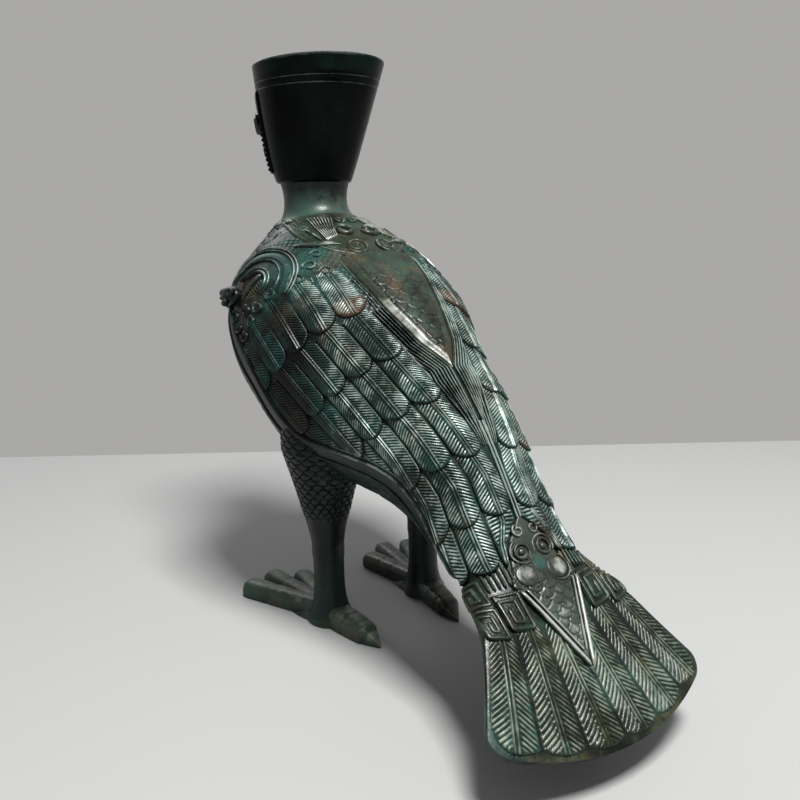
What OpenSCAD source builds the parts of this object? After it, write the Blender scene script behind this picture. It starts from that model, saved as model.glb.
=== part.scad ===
// Bird-shaped bronze wine vessel: a hollow body on two legs, a cup for a head and a fan tail.
// The bird faces -Y, its left side is +X, and its soles stand on z = 0.

/* [Body] */
// Length of the body along the sloping back, breast to tail root
body_len = 216; // [195:1:235]
// Greatest width of the body under the wings
body_w = 110; // [98:1:122]
// Greatest depth of the body, back to belly
body_depth = 100; // [90:1:110]
// Slope of the back
back_tilt = 45; // [41:0.5:49]
// Height of the back line over the legs
back_h = 189; // [178:1:200]
// Length of the body ahead of the legs, along the back line
body_lead = 49; // [43:1:55]
// How far the breast end lies below the back line
breast_dip = 49; // [42:1:56]
// How far the rump swells above the back line
back_swell = 3; // [0:0.5:6]
// Wall of the cast shell
shell_wall = 3.2; // [2.4:0.1:4.4]

/* [Tail] */
// Width of the body at the tail root
root_w = 52; // [46:1:58]
// Depth of the body at the tail root
root_depth = 21.5; // [19:0.5:26]
// How far the tail root lies below the back line
root_dip = 5.5; // [2:0.5:9]
// Length of the tail along its middle
tail_len = 72; // [62:1:80]
// Width of the tail at its end
tail_w = 102; // [88:1:114]
// Thickness of the tail plate
tail_t = 4; // [3:0.1:5]
// How far the tail's end bows out at the middle
tail_bow = 15; // [8:1:20]
// How far the tail's edges droop below its middle
tail_droop = 2; // [0:0.5:6]
// Width of the tang that keys the tail into the body
tang_w = 26; // [18:1:32]
// Thickness of the tang
tang_t = 7; // [5:0.5:9]
// Length of the tang
tang_len = 9; // [7:0.5:14]

/* [Neck] */
// Distance of the neck ahead of the legs
neck_y = 52.5; // [48:0.5:57]
// Radius of the neck at its narrowest
neck_r = 15.1; // [13.5:0.1:17]
// How far the neck flares where it sits on the shoulders
neck_flare = 2.6; // [1:0.1:4]
// Radius of the passage through the neck
neck_bore_r = 10.5; // [8.5:0.1:11.5]
// Radius of the spigot that enters the body
neck_spigot_r = 13; // [12.5:0.1:13.4]
// Depth of that spigot below the shoulder
neck_spigot_len = 9; // [7:0.5:14]

/* [Cup] */
// Height of the rim above the table
rim_h = 262; // [250:1:280]
// Height of the crease between the neck and the cup
crease_h = 208; // [205:0.5:212]
// Length of the rim, front to back
rim_len = 70.8; // [62:0.2:78]
// Width of the rim across
rim_w = 61.2; // [54:0.2:68]
// How far the cup leans back at its rim
cup_lean = 8.5; // [4:0.5:12]
// Radius of the cup at the crease
crease_r = 18.3; // [17:0.1:20]
// Wall of the cup
cup_wall = 3; // [2.2:0.1:4]
// Floor of the cup, round the passage
cup_floor = 4; // [3:0.1:6]
// Length of the cup's spigot inside the neck
cup_spigot_len = 7; // [5:0.5:8]
// Wall of that spigot
cup_spigot_wall = 2; // [1.4:0.1:2.6]

/* [Face] */
// Height of the face's lower edge above the crease
face_low = 5; // [4:0.5:8]
// Height of the face, chin to brow
face_h = 31; // [26:0.5:36]
// Spread of the face to either side of the front, as an angle
face_spread = 76; // [66:1:84]
// Thickness of the face relief
face_t = 1.2; // [0.8:0.1:2]
// Angle of the eyes from the front
eye_turn = 57; // [48:1:62]
// Height of the eyes above the crease
eye_h = 28.5; // [24:0.5:30]
// Radius of an eye boss
eye_r = 4.4; // [3.4:0.1:5]
// Length of the beak, top to tip
beak_len = 15; // [11:0.5:18]
// Width of the beak
beak_w = 8; // [6:0.5:10]
// How far the beak stands out
beak_out = 7; // [5:0.5:10]

/* [Wings] */
// Thickness of the wing at the tips of its feathers
wing_t = 2.3; // [1.8:0.1:2.8]
// Rows of feathers from the shoulder to the tail mask
feather_rows = 5; // [4:1:6]
// Width of a feather
feather_w = 13; // [11.5:0.1:14]
// Start of the wing along the back line
wing_front = 31; // [27:1:36]
// How far the wing's front corners are rounded back
wing_round = 9; // [5:0.5:13]
// Angle of the wing's lower border below the body's widest line
wing_low = 6; // [2:0.5:10]
// Half width of the bare strip along the middle of the back
spine_strip = 2.4; // [1.8:0.2:4]
// Place of the shoulder boss along the back line
boss_a = 46; // [43:0.5:52]
// Angle of the shoulder boss above the body's widest line
boss_turn = 9; // [5:0.5:14]
// Radius of the shoulder boss
boss_r = 5.6; // [4.6:0.1:6.6]

/* [Back ornament] */
// Radius of the yoke round the neck
yoke_r = 23; // [21:0.5:26]
// How far the yoke reaches back beyond that radius
yoke_reach = 40; // [34:0.5:44]
// Thickness of the yoke and of the pendant
yoke_t = 1.2; // [0.9:0.1:1.8]
// Place of the pendant's top behind the legs
pendant_y = 10.5; // [6:0.5:13]
// Length of the pendant on plan
pendant_len = 51; // [42:1:58]
// Width of the pendant at its top
pendant_w = 39; // [33:0.5:44]

/* [Tail ornament] */
// How far the tail mask reaches up the body from the tail root
mask_up = 14; // [10:0.5:18]
// Length of the tail mask down the tail
mask_down = 47; // [40:0.5:52]
// Width of the tail mask at its head
mask_w = 24; // [20:0.5:28]
// Length of the mask's head before it narrows
mask_head = 27; // [22:0.5:32]
// Thickness of the mask and of the covert panels
mask_t = 1.6; // [1.2:0.1:2.4]
// Length of the covert panels
covert_len = 23; // [18:0.5:27]
// Share of the tail's half width that the covert panels reach
covert_reach = 0.95; // [0.85:0.01:0.97]

/* [Legs] */
// Distance of each leg from the middle
leg_x = 27; // [24:0.5:30]
// Radius of the thigh where it meets the body
thigh_r = 19.5; // [16:0.5:22]
// Height over which the thigh widens
thigh_rise = 47; // [42:1:54]
// Height of the joint between thigh and shank
knee_h = 40; // [36:0.5:46]
// Radius of the shank
shank_r = 7.7; // [6.8:0.1:8.8]
// Radius of the tenon that enters the body
hip_tenon_r = 6; // [5:0.1:7]
// Length of that tenon
hip_tenon_len = 15; // [13:0.5:20]
// Radius of the tenons at either end of the shank
shank_tenon_r = 4.5; // [3.6:0.1:5.4]
// Length of those tenons
shank_tenon_len = 6; // [4:0.2:6.6]

/* [Feet] */
// Height of the foot where the shank stands on it
ankle_h = 11; // [10:0.1:13]
// Radius of the foot's middle
ankle_r = 9.2; // [8.8:0.1:10.5]
// Length of the outer and middle front toes
toe_len = 56; // [48:0.5:62]
// Length of the inner front toe
inner_toe_len = 47; // [40:0.5:54]
// Length of the hind toe and its claw
hind_toe_len = 38; // [32:0.5:44]
// Width of a toe
toe_w = 10.5; // [9:0.1:12]
// Height of a toe at its knuckle
toe_h = 9.8; // [7:0.1:10]
// Angle between neighbouring front toes
toe_spread = 16; // [12:0.5:20]
// Turn of each foot outwards
foot_turn = 8; // [2:0.5:14]

/* [Fits] */
// Gap under every piece that is laid on another
seat_gap = 0.15; // [0.1:0.01:0.3]
// Gap round every spigot, tenon and tang
fit_gap = 0.2; // [0.1:0.01:0.4]
// Gap between ornaments that lie side by side
edge_gap = 0.6; // [0.4:0.05:1]

/* [Hidden] */

bronze = "#33483f";
dark_bronze = "#1d2b27";
worn_bronze = "#5a6459";
green_bronze = "#2c5a4c";

// Facets: sides of a body section, rings along the body, sides of a leg or neck
body_sides = 44;
body_rings = 26;
tail_rings = 13;
limb_sides = 32;

// Shares of the greatest width and depth, and of the breast dip, at even steps of the root of the length
breast_girth = [0, 0.25, 0.53, 0.8, 0.97, 1];
rump_girth = [0.65, 0.085, 0];
breast_deep = [0, 0.36, 0.645, 0.85, 0.98, 1];
rump_deep = [0.97, 0.54, 0];
dip_share = [1, 0.755, 0.55, 0.35, 0.165, 0.02];
// Height of the widest line in each section, as a share of its depth
girth_line = [0.46, 0.46, 0.46, 0.48, 0.5, 0.48, 0.43, 0.66, 0.5];

half_widths = concat([for (g = breast_girth) g * body_w / 2],
                     [for (g = rump_girth) mix(root_w / 2, body_w / 2, g)]);
depths = concat([for (g = breast_deep) g * body_depth],
                [for (g = rump_deep) mix(root_depth, body_depth, g)]);
crests = concat([for (d = dip_share) -d * breast_dip], [back_swell, back_swell, -root_dip]);

// The tail flattens from the body's section to a plate over the first part of its length
flatten_share = 0.5;
tail_flare_power = 1.25;
plate_edge_power = 0.3;

function mix(a, b, t) = a + (b - a) * t;
function ease(t) = let (c = min(max(t, 0), 1)) c * c * (3 - 2 * c);
function middle(points) = [for (i = [0:2]) sum_of([for (p = points) p[i]]) / len(points)];
function sum_of(v, i = 0) = i < len(v) ? v[i] + sum_of(v, i + 1) : 0;

// Smooth curve through even steps of the values v
function spline(v, u) =
    let (n = len(v) - 1,
         x = min(max(u, 0), 1) * n,
         k = min(floor(x), n - 1),
         f = x - k,
         p1 = v[k],
         p2 = v[k + 1],
         p0 = k > 0 ? v[k - 1] : 2 * p1 - p2,
         p3 = k < n - 1 ? v[k + 2] : 2 * p2 - p1)
    p1 + 0.5 * f * (p2 - p0 + f * (2 * p0 - 5 * p1 + 4 * p2 - p3 + f * (3 * (p1 - p2) + p3 - p0)));

// A section across the back line: [half width, rise over its widest line, drop under it, place of that line,
// edge power, droop of the edges, bow of the edges along the tail]
function body_section(u) =
    let (depth = spline(depths, u),
         low = depth * spline(girth_line, u))
    [spline(half_widths, u), depth - low, low, spline(crests, u) - depth + low, 1, 0, 0];
function tail_section(q) =
    let (flat = ease(q / flatten_share),
         depth = mix(root_depth, tail_t, flat))
    [mix(root_w / 2, tail_w / 2, pow(q, tail_flare_power)), depth / 2, depth / 2, -root_dip - depth / 2,
     mix(1, plate_edge_power, flat), tail_droop * q, tail_bow * q];
function section(a) =
    a <= body_len ? body_section(sqrt(max(a, 0) / body_len)) : tail_section((a - body_len) / tail_len);

// From lengths along and above the back line to the bird's frame, and back again
function place(x, a, m) =
    [x, (a - body_lead) * cos(back_tilt) + m * sin(back_tilt),
     back_h - (a - body_lead) * sin(back_tilt) + m * cos(back_tilt)];
function along(p) = body_lead + p[1] * cos(back_tilt) - (p[2] - back_h) * sin(back_tilt);
function above(p) = p[1] * sin(back_tilt) + (p[2] - back_h) * cos(back_tilt);

// A point of the bird's skin at length a and angle t round the section, lifted by h
function skin(a, t, h = 0) =
    let (g = section(a),
         c = cos(t),
         s = sin(t),
         m = s >= 0 ? (g[1] + h) * pow(s, g[4]) : -(g[2] + h) * pow(-s, g[4]))
    place((g[0] + h) * c, a - g[6] * c * c, g[3] + m - g[5] * c * c);
// The same on the upper side, at a distance x from the middle
function upper_skin(a, x, h = 0) = skin(a, acos(min(max(x / section(a)[0], -1), 1)), h);
function skin_normal(a, t) =
    let (step = 0.5,
         n = cross(skin(a, t + step) - skin(a, t - step), skin(a + step, t) - skin(a - step, t)))
    -n / norm(n);

// Is a point inside the body grown by h, at the breast end too
function in_body(p, h) =
    let (a = mix(along(p) + h, along(p), along(p) / body_len),
         g = section(a),
         d = above(p) - g[3],
         reach = (d > 0 ? g[1] : g[2]) + h)
    a > 0 && a < body_len && pow(p[0] / (g[0] + h), 2) + pow(d / reach, 2) < 1;
// Where the straight line from a point inside to a point outside leaves the grown body
function leave_body(inside, outside, h, left = 22) =
    let (mid = (inside + outside) / 2)
    left == 0 ? mid
    : in_body(mid, h) ? leave_body(mid, outside, h, left - 1)
    : leave_body(inside, mid, h, left - 1);
// The body's top over a place on plan, and its underside
function body_top(x, y, h) = leave_body([x, y, core_height(y)], [x, y, rim_h], h);
function body_under(x, y, h) = leave_body([x, y, core_height(y)], [x, y, 0], h);
// Height of the widest line over a place on plan, from the fullest part of the breast back
breast_share = 0.375;
function core_height(y, lo = breast_share, hi = 1, left = 16) =
    let (u = (lo + hi) / 2,
         p = place(0, body_len * u * u, body_section(u)[3]))
    left == 0 ? p[2]
    : p[1] < y ? core_height(y, u, hi, left - 1)
    : core_height(y, lo, u, left - 1);

// A closed solid through rings of points, each end closed round its middle
module loft(rings) {
    n = len(rings);
    k = len(rings[0]);
    points = concat([for (r = rings) each r], [middle(rings[0]), middle(rings[n - 1])]);
    sides = [for (i = [0:n - 2], j = [0:k - 1])
             let (a = i * k + j, b = i * k + (j + 1) % k)
             each [[a, b, a + k], [b, b + k, a + k]]];
    first = [for (j = [0:k - 1]) [n * k, (j + 1) % k, j]];
    last = [for (j = [0:k - 1]) [n * k + 1, (n - 1) * k + j, (n - 1) * k + (j + 1) % k]];
    polyhedron(points, concat(sides, first, last), convexity = 6);
}
// A closed ring through loops of points, the last loop joined to the first
module loop_loft(loops) {
    n = len(loops);
    k = len(loops[0]);
    faces = [for (i = [0:n - 1], j = [0:k - 1])
             let (a = i * k + j, b = i * k + (j + 1) % k,
                  c = ((i + 1) % n) * k + j, d = ((i + 1) % n) * k + (j + 1) % k)
             each [[a, b, c], [b, d, c]]];
    polyhedron([for (l = loops) each l], faces, convexity = 8);
}
// A plate between a lower and an upper grid of points, closed all round its edge
module plate(lower, upper) {
    n = len(lower);
    k = len(lower[0]);
    function low(i, j) = i * k + j;
    function up(i, j) = n * k + i * k + j;
    function quad(a, b, c, d) = [[a, b, d], [b, c, d]];
    under = [for (i = [0:n - 2], j = [0:k - 2])
             each quad(low(i, j), low(i, j + 1), low(i + 1, j + 1), low(i + 1, j))];
    over = [for (i = [0:n - 2], j = [0:k - 2])
            each quad(up(i, j + 1), up(i, j), up(i + 1, j), up(i + 1, j + 1))];
    sides = [for (i = [0:n - 2])
             each concat(quad(up(i, 0), low(i, 0), low(i + 1, 0), up(i + 1, 0)),
                         quad(low(i, k - 1), up(i, k - 1), up(i + 1, k - 1), low(i + 1, k - 1)))];
    ends = [for (j = [0:k - 2])
            each concat(quad(low(0, j + 1), low(0, j), up(0, j), up(0, j + 1)),
                        quad(low(n - 1, j), low(n - 1, j + 1), up(n - 1, j + 1), up(n - 1, j)))];
    polyhedron(concat([for (r = lower) each r], [for (r = upper) each r]),
               concat(under, over, sides, ends), convexity = 6);
}
module on_spine(a, m) {
    translate(place(0, a, m)) rotate([-back_tilt, 0, 0]) children();
}
// Local +Z along the direction n, at p
module stand_on(p, n) {
    translate(p) rotate([0, acos(n[2]), atan2(n[1], n[0])]) children();
}
module right_side() {
    mirror([1, 0, 0]) children();
}

// The outer skin's rings, and the middle of the whole vessel from breast to tail end
function ring(a, h, sides) = [for (j = [0:sides - 1]) skin(a, 360 * j / sides, h)];
nose_share = 0.03;
outer_rings = [for (i = [0:body_rings])
               ring(body_len * pow(mix(nose_share, 1, i / body_rings), 2), 0, body_sides)];
front_y = min([for (r = outer_rings) each [for (p = r) p[1]]]);
rear_y = skin(body_len + tail_len, 90)[1];
module centred() {
    translate([0, -(front_y + rear_y) / 2, 0]) children();
}

// The hollow body, open at the neck, at the two hips and at the tail root
cavity_rings = 17;
cavity_sides = 32;
// Walls at the breast and at the tail root, against the sides of the shell
end_wall_share = 1.6;
cavity_start = end_wall_share * shell_wall;
cavity_end = body_len - end_wall_share * shell_wall;
hip = body_under(leg_x, 0, seat_gap);
root_mid = -root_dip - root_depth / 2;
module body_cavity() {
    u0 = sqrt(cavity_start / body_len);
    u1 = sqrt(cavity_end / body_len);
    loft([for (i = [0:cavity_rings])
          ring(body_len * pow(mix(u0, u1, i / cavity_rings), 2), -shell_wall, cavity_sides)]);
}
module hip_hole() {
    translate([leg_x, 0, hip[2] - thigh_r])
        cylinder(r = hip_tenon_r + fit_gap, h = thigh_r + 2 * hip_tenon_len);
}
module body_shell() {
    color(bronze) centred() difference() {
        loft(outer_rings);
        body_cavity();
        translate([0, -neck_y, neck_low - 2 * neck_spigot_len])
            cylinder(r = neck_spigot_r + fit_gap, h = crease_h - neck_low + 2 * neck_spigot_len);
        hip_hole();
        right_side() hip_hole();
        on_spine(body_len, root_mid)
            cube([tang_w + 2 * fit_gap, 2 * (tang_len + fit_gap), tang_t + 2 * fit_gap], center = true);
    }
}

// The neck: flat under the cup, shaped to the shoulders below, with a spigot into the body
neck_steps = 7;
// How far the neck's top stands inside the cup's crease
crease_step = 1.2;
neck_top_r = crease_r - crease_step;
// Rings of a seat inside its edge, as shares of its radius
seat_shares = [0.4, 0.7];
function neck_radius(v) = neck_r + neck_flare * pow(1 - v, 3) + (neck_top_r - neck_r) * pow(v, 3);
neck_foot_r = neck_radius(0);
function on_neck(r, t) = [r * sin(t), -neck_y + r * cos(t)];
function shoulder(r, t, h) = let (p = on_neck(r, t)) body_top(p[0], p[1], h);
neck_low = min([for (j = [0:limb_sides - 1]) shoulder(neck_foot_r, 360 * j / limb_sides, seat_gap)[2]]);
module neck_collar() {
    angles = [for (j = [0:limb_sides - 1]) 360 * j / limb_sides];
    seats = [for (f = seat_shares) [for (t = angles) shoulder(f * neck_foot_r, t, seat_gap)]];
    walls = [for (i = [0:neck_steps])
             let (v = i / neck_steps)
             [for (t = angles)
              let (p = on_neck(neck_radius(v), t))
              [p[0], p[1], mix(shoulder(neck_foot_r, t, seat_gap)[2], crease_h - seat_gap, v)]]];
    color(worn_bronze) centred() difference() {
        union() {
            loft(concat(seats, walls));
            translate([0, -neck_y, neck_low - neck_spigot_len])
                cylinder(r = neck_spigot_r, h = crease_h - neck_low);
        }
        translate([0, -neck_y, neck_low - 2 * neck_spigot_len])
            cylinder(r = neck_bore_r, h = crease_h - neck_low + 3 * neck_spigot_len);
    }
}

// The oval cup: a straight flaring back, a full front, and a spigot into the neck
cup_h = rim_h - crease_h;
cup_steps = 9;
cup_front_power = 0.48;
cup_side_power = 0.82;
// A point of the cup at height share v and angle t from the front, lifted by h
function cup_skin(v, t, h = 0) =
    let (front = mix(-crease_r, cup_lean - rim_len / 2, pow(sin(90 * v), cup_front_power)),
         back = mix(crease_r, cup_lean + rim_len / 2, v),
         half = mix(crease_r, rim_w / 2, pow(v, cup_side_power)))
    [(half + h) * sin(t),
     -neck_y + (front + back) / 2 - ((back - front) / 2 + h) * cos(t),
     crease_h + cup_h * v];
function cup_ring(v, h, sides) = [for (j = [0:sides - 1]) cup_skin(v, -360 * j / sides, h)];
module mouth_cup() {
    floor_share = cup_floor / cup_h;
    inside = [for (i = [0:cup_steps]) cup_ring(mix(floor_share, 1, i / cup_steps), -cup_wall, limb_sides)];
    over_rim = [for (p = inside[cup_steps]) p + [0, 0, cup_wall]];
    spigot_r = neck_bore_r - fit_gap;
    color(dark_bronze) centred() difference() {
        union() {
            loft([for (i = [0:cup_steps]) cup_ring(i / cup_steps, 0, body_sides)]);
            translate([0, -neck_y, crease_h - cup_spigot_len])
                cylinder(r = spigot_r, h = cup_spigot_len + cup_floor / 2);
        }
        loft(concat(inside, [over_rim]));
        translate([0, -neck_y, crease_h - 2 * cup_spigot_len])
            cylinder(r = spigot_r - cup_spigot_wall, h = 2 * cup_spigot_len + 2 * cup_floor);
    }
}

// The face on the front of the cup: a shield with eye bosses at its sides and a hooked beak
face_cols = 20;
face_rows = 4;
function cup_normal(v, t) =
    let (step = 0.02,
         n = cross(cup_skin(v, t + 1) - cup_skin(v, t - 1), cup_skin(v + step, t) - cup_skin(v - step, t)))
    n / norm(n);
function face_row(v, h) =
    [for (j = [0:face_cols]) cup_skin(v, mix(-face_spread, face_spread, j / face_cols), h)];
module face_mask() {
    shares = [for (i = [0:face_rows]) (face_low + face_h * i / face_rows) / cup_h];
    color(green_bronze) centred()
        plate([for (v = shares) face_row(v, seat_gap)], [for (v = shares) face_row(v, face_t + seat_gap)]);
}
module eye_boss() {
    v = eye_h / cup_h;
    n = cup_normal(v, eye_turn);
    rim = eye_r / 4;
    sagitta = eye_r * eye_r / rim_w;
    centred() stand_on(cup_skin(v, eye_turn) + n * (face_t + 2 * seat_gap + sagitta), n)
        rotate_extrude() {
            square([eye_r, rim]);
            translate([eye_r - rim, rim]) circle(r = rim, $fn = 24);
            intersection() {
                translate([0, rim / 2]) circle(r = eye_r / 2, $fn = 24);
                square(eye_r);
            }
        }
}
module left_eye_boss() {
    color(worn_bronze) eye_boss();
}
module right_eye_boss() {
    color(worn_bronze) right_side() eye_boss();
}
// Steps down the beak: [share of its length, share of its width, share of its reach]
beak_steps = [[0, 1, 0.35], [0.25, 0.95, 0.72], [0.5, 0.82, 0.86], [0.75, 0.6, 0.75], [1, 0.3, 0.43]];
// Where the beak's cheeks stand, as shares of its width and reach there
cheek = [0.6, 0.7];
module beak() {
    top_share = (face_low + face_h / 2 + beak_len / 2) / cup_h;
    low_share = (face_low + face_h / 2 - beak_len / 2) / cup_h;
    sagitta = beak_w * beak_w / rim_w / 2;
    lift = face_t + 2 * seat_gap + sagitta;
    top = cup_skin(top_share, 0, lift);
    low = cup_skin(low_share, 0, lift);
    color(green_bronze) centred() loft([for (s = beak_steps)
        let (p = mix(top, low, s[0]),
             wide = [s[1] * beak_w / 2, 0, 0],
             reach = [0, -s[2] * beak_out, 0])
        [p + wide, p - wide, p - wide * cheek[0] + reach * cheek[1],
         p + reach, p + wide * cheek[0] + reach * cheek[1]]]);
}

// The yoke round the neck, drawn out along the back to the pendant
yoke_steps = 7;
// Sides of the yoke, which lie closer together towards the back
yoke_sides = 40;
yoke_crowding = 1.6;
yoke_power = 3.2;
function yoke_edge(t) =
    let (back = max(cos(t), 0))
    min(yoke_r + yoke_reach * pow(back, yoke_power), back > 0 ? (neck_y + pendant_y) / back : body_len);
module shoulder_yoke() {
    inner = neck_foot_r + edge_gap;
    loops = [for (j = [0:yoke_sides - 1])
             let (s = 2 * j / yoke_sides - 1,
                  t = 180 * sign(s) * pow(abs(s), yoke_crowding),
                  reach = [for (i = [0:yoke_steps]) mix(inner, yoke_edge(t), i / yoke_steps)])
             concat([for (r = reach) shoulder(r, t, seat_gap + yoke_t)],
                    [for (i = [yoke_steps:-1:0]) shoulder(reach[i], t, seat_gap)])];
    color(worn_bronze) centred() loop_loft(loops);
}

// The long pointed pendant below the yoke
pendant_rows = 10;
pendant_cols = 6;
pendant_point = 0.6;
function pendant_half(y) = pendant_w / 2 * (1 - (y - pendant_y) / pendant_len);
module back_pendant() {
    ys = [for (i = [0:pendant_rows]) pendant_y + edge_gap + (pendant_len - edge_gap) * i / pendant_rows];
    function row(y, h) =
        [for (j = [0:pendant_cols])
         body_top(max(pendant_half(y), pendant_point) * (2 * j / pendant_cols - 1), y, h)];
    color(green_bronze) centred()
        plate([for (y = ys) row(y, seat_gap)], [for (y = ys) row(y, seat_gap + yoke_t)]);
}

// The mask that hangs over the tail root, and the covert panels beside it
mask_rows = 13;
mask_cols = 6;
mask_start = body_len - mask_up;
mask_point = 0.6;
function mask_half(a) =
    let (f = (a - mask_start - mask_head) / (mask_up + mask_down - mask_head))
    max(f < 0 ? mask_w / 2 : mask_w / 2 * (1 - f), mask_point);
module tail_mask() {
    as = [for (i = [0:mask_rows]) mask_start + (mask_up + mask_down) * i / mask_rows];
    function row(a, h) = [for (j = [0:mask_cols]) upper_skin(a, mask_half(a) * (2 * j / mask_cols - 1), h)];
    color(worn_bronze) centred()
        plate([for (a = as) row(a, seat_gap)], [for (a = as) row(a, seat_gap + mask_t)]);
}
covert_rows = 6;
covert_cols = 6;
module coverts() {
    as = [for (i = [0:covert_rows]) body_len + edge_gap + covert_len * i / covert_rows];
    function row(a, h) =
        [for (j = [0:covert_cols])
         upper_skin(a, mix(mask_half(a) + edge_gap, covert_reach * section(a)[0], j / covert_cols), h)];
    centred() plate([for (a = as) row(a, seat_gap)], [for (a = as) row(a, seat_gap + mask_t)]);
}
module left_tail_coverts() {
    color(green_bronze) coverts();
}
module right_tail_coverts() {
    color(green_bronze) right_side() coverts();
}

// A wing: from its lower border up to the yoke, the pendant, the spine strip and the tail mask
wing_cols = 24;
wing_rows = 9;
function clear_of_ornament(a, x) =
    let (p = upper_skin(a, x),
         r = norm([p[0], p[1] + neck_y]),
         t = atan2(p[0], p[1] + neck_y),
         low = p[1] - pendant_y)
    r > yoke_edge(t) + edge_gap + wing_t
    && (low < -edge_gap || low > pendant_len || x > max(pendant_half(p[1]), 0) + edge_gap + wing_t)
    && (a < mask_start - edge_gap - wing_t || x > mask_half(a) + edge_gap);
// The wing's inner edge at length a, searched from the middle of the back outwards
function wing_inner(a, lo, hi, left = 14) =
    let (x = (lo + hi) / 2)
    left == 0 ? hi
    : clear_of_ornament(a, x) ? wing_inner(a, lo, x, left - 1)
    : wing_inner(a, x, hi, left - 1);
function wing_edge(a) =
    clear_of_ornament(a, spine_strip) ? spine_strip : wing_inner(a, spine_strip, section(a)[0]);
function wing_row(v, h) =
    [for (i = [0:wing_cols])
     let (a = mix(wing_front + wing_round * pow(2 * v - 1, 2), body_len - edge_gap, i / wing_cols),
          high = acos(wing_edge(a) / section(a)[0]))
     skin(a, mix(-wing_low, high, v), h)];
// Distances round a section from the middle of the back: [distance, angle]
arc_steps = 36;
function arc_table(a) =
    let (points = [for (i = [0:arc_steps]) skin(a, 90 - 180 * i / arc_steps)],
         steps = [for (i = [0:arc_steps]) i < arc_steps ? norm(points[i + 1] - points[i]) : 0])
    [for (i = 0, s = 0; i <= arc_steps; s = s + steps[i], i = i + 1) [s, 90 - 180 * i / arc_steps]];
// The wing's lower border in that table
function arc_border(table) = lookup(wing_low, [for (e = table) [-e[1], e[0]]]);

// Feathers stand on the wing's plate in columns that run in towards the tail, with their tips in rows
plate_share = 0.45;
// Place of the first row of tips, as a share of the body's length, and of the last row before the tail mask
first_tip = 0.458 * body_len;
last_tip = mask_start - edge_gap - wing_t;
feather_len = (last_tip - first_tip) / (feather_rows - 1);
// Length of the first feather in each column, as a share of the others
first_lengths = [0.88, 1, 1.12, 1, 0.88];
// Distance of the first column from the middle of the back at the first tips, and how fast it runs in
column_start = 1.5 * feather_w;
column_drift = 0.206;
// A feather's rounded end, the gap beside it, its crown over its edges, its base over the plate, and its
// least width
tip_round = 0.35 * feather_w;
feather_gap = edge_gap;
crown_share = 0.5;
base_step = 1.25;
least_feather = 0.3 * feather_w;
feather_across = [1, 0.65, 0, -0.65, -1];
feather_along = [0, 0.5, 1];
function column_side(k, a) = max(column_start - column_drift * (a - first_tip), spine_strip) + k * feather_w;
function feather_width(k, a) =
    min(column_side(k + 1, a), arc_border(arc_table(a)) - edge_gap) - column_side(k, a);
function feather_point(k, a, c, inset, h) =
    let (table = arc_table(a),
         inner = column_side(k, a) + inset,
         outer = min(column_side(k + 1, a), arc_border(table) - edge_gap) - inset)
    skin(a, lookup(mix(inner, outer, (c + 1) / 2), table), h);
function feather_end(tip, c) = tip - tip_round * (1 - sqrt(1 - c * c));
// Its base is narrower and lower than its tip, so that it runs in under the feather before it
module feather(k, base, tip) {
    function point(c, f, rise) =
        feather_point(k, mix(base, feather_end(tip, c), f), c, feather_gap * (1 - f / 2), seat_gap + rise);
    low = wing_t * plate_share;
    plate([for (c = feather_across) [for (f = feather_along) point(c, f, low / 2)]],
          [for (c = feather_across) [for (f = feather_along)
           point(c, f, mix(low * base_step, wing_t * (1 - crown_share * c * c), f))]]);
}
module wing() {
    shares = [for (i = [0:wing_rows]) i / wing_rows];
    tips = [for (i = [0:feather_rows - 1]) first_tip + i * feather_len];
    centred() {
        plate([for (v = shares) wing_row(v, seat_gap)],
              [for (v = shares) wing_row(v, seat_gap + wing_t * plate_share)]);
        for (k = [0:len(first_lengths) - 1], i = [0:feather_rows - 1])
            let (base = i == 0 ? first_tip - first_lengths[k] * feather_len : tips[i - 1] - tip_round / 2)
            if (min(feather_width(k, base), feather_width(k, tips[i])) > least_feather)
                feather(k, base, tips[i]);
    }
}
module left_wing() {
    color(green_bronze) wing();
}
module right_wing() {
    color(green_bronze) right_side() wing();
}

// The beast-head knob at the front of each wing
// Height of its foot, then place across and radius of its eyes and of its muzzle, as shares of its radius
boss_foot = 0.42;
boss_eye = [-0.4, 0.45, 0.34];
boss_muzzle = [0.35, 0.42];
module shoulder_boss() {
    n = skin_normal(boss_a, boss_turn);
    sagitta = boss_r * boss_r / body_w;
    foot = boss_r * boss_foot;
    centred() stand_on(skin(boss_a, boss_turn, wing_t * plate_share + 2 * seat_gap) + n * sagitta, n) {
        cylinder(r = boss_r, h = foot);
        intersection() {
            translate([0, 0, -foot]) sphere(r = boss_r);
            cylinder(r = boss_r, h = boss_r);
        }
        for (side = [-1, 1])
            translate([boss_r * boss_eye[0], side * boss_r * boss_eye[1], foot])
                sphere(r = boss_r * boss_eye[2]);
        translate([boss_r * boss_muzzle[0], 0, foot]) sphere(r = boss_r * boss_muzzle[1]);
    }
}
module left_shoulder_boss() {
    color(bronze) shoulder_boss();
}
module right_shoulder_boss() {
    color(bronze) right_side() shoulder_boss();
}

// The tail: the body's section drawn out to a thin fan, keyed into the body by a tang
module tail_fan() {
    color(bronze) centred() {
        loft([for (i = [0:tail_rings])
              ring(body_len + (i == 0 ? seat_gap : tail_len * i / tail_rings), 0, body_sides)]);
        on_spine(body_len, root_mid)
            translate([-tang_w / 2, -tang_len, -tang_t / 2]) cube([tang_w, tang_len + tang_t, tang_t]);
    }
}

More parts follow.
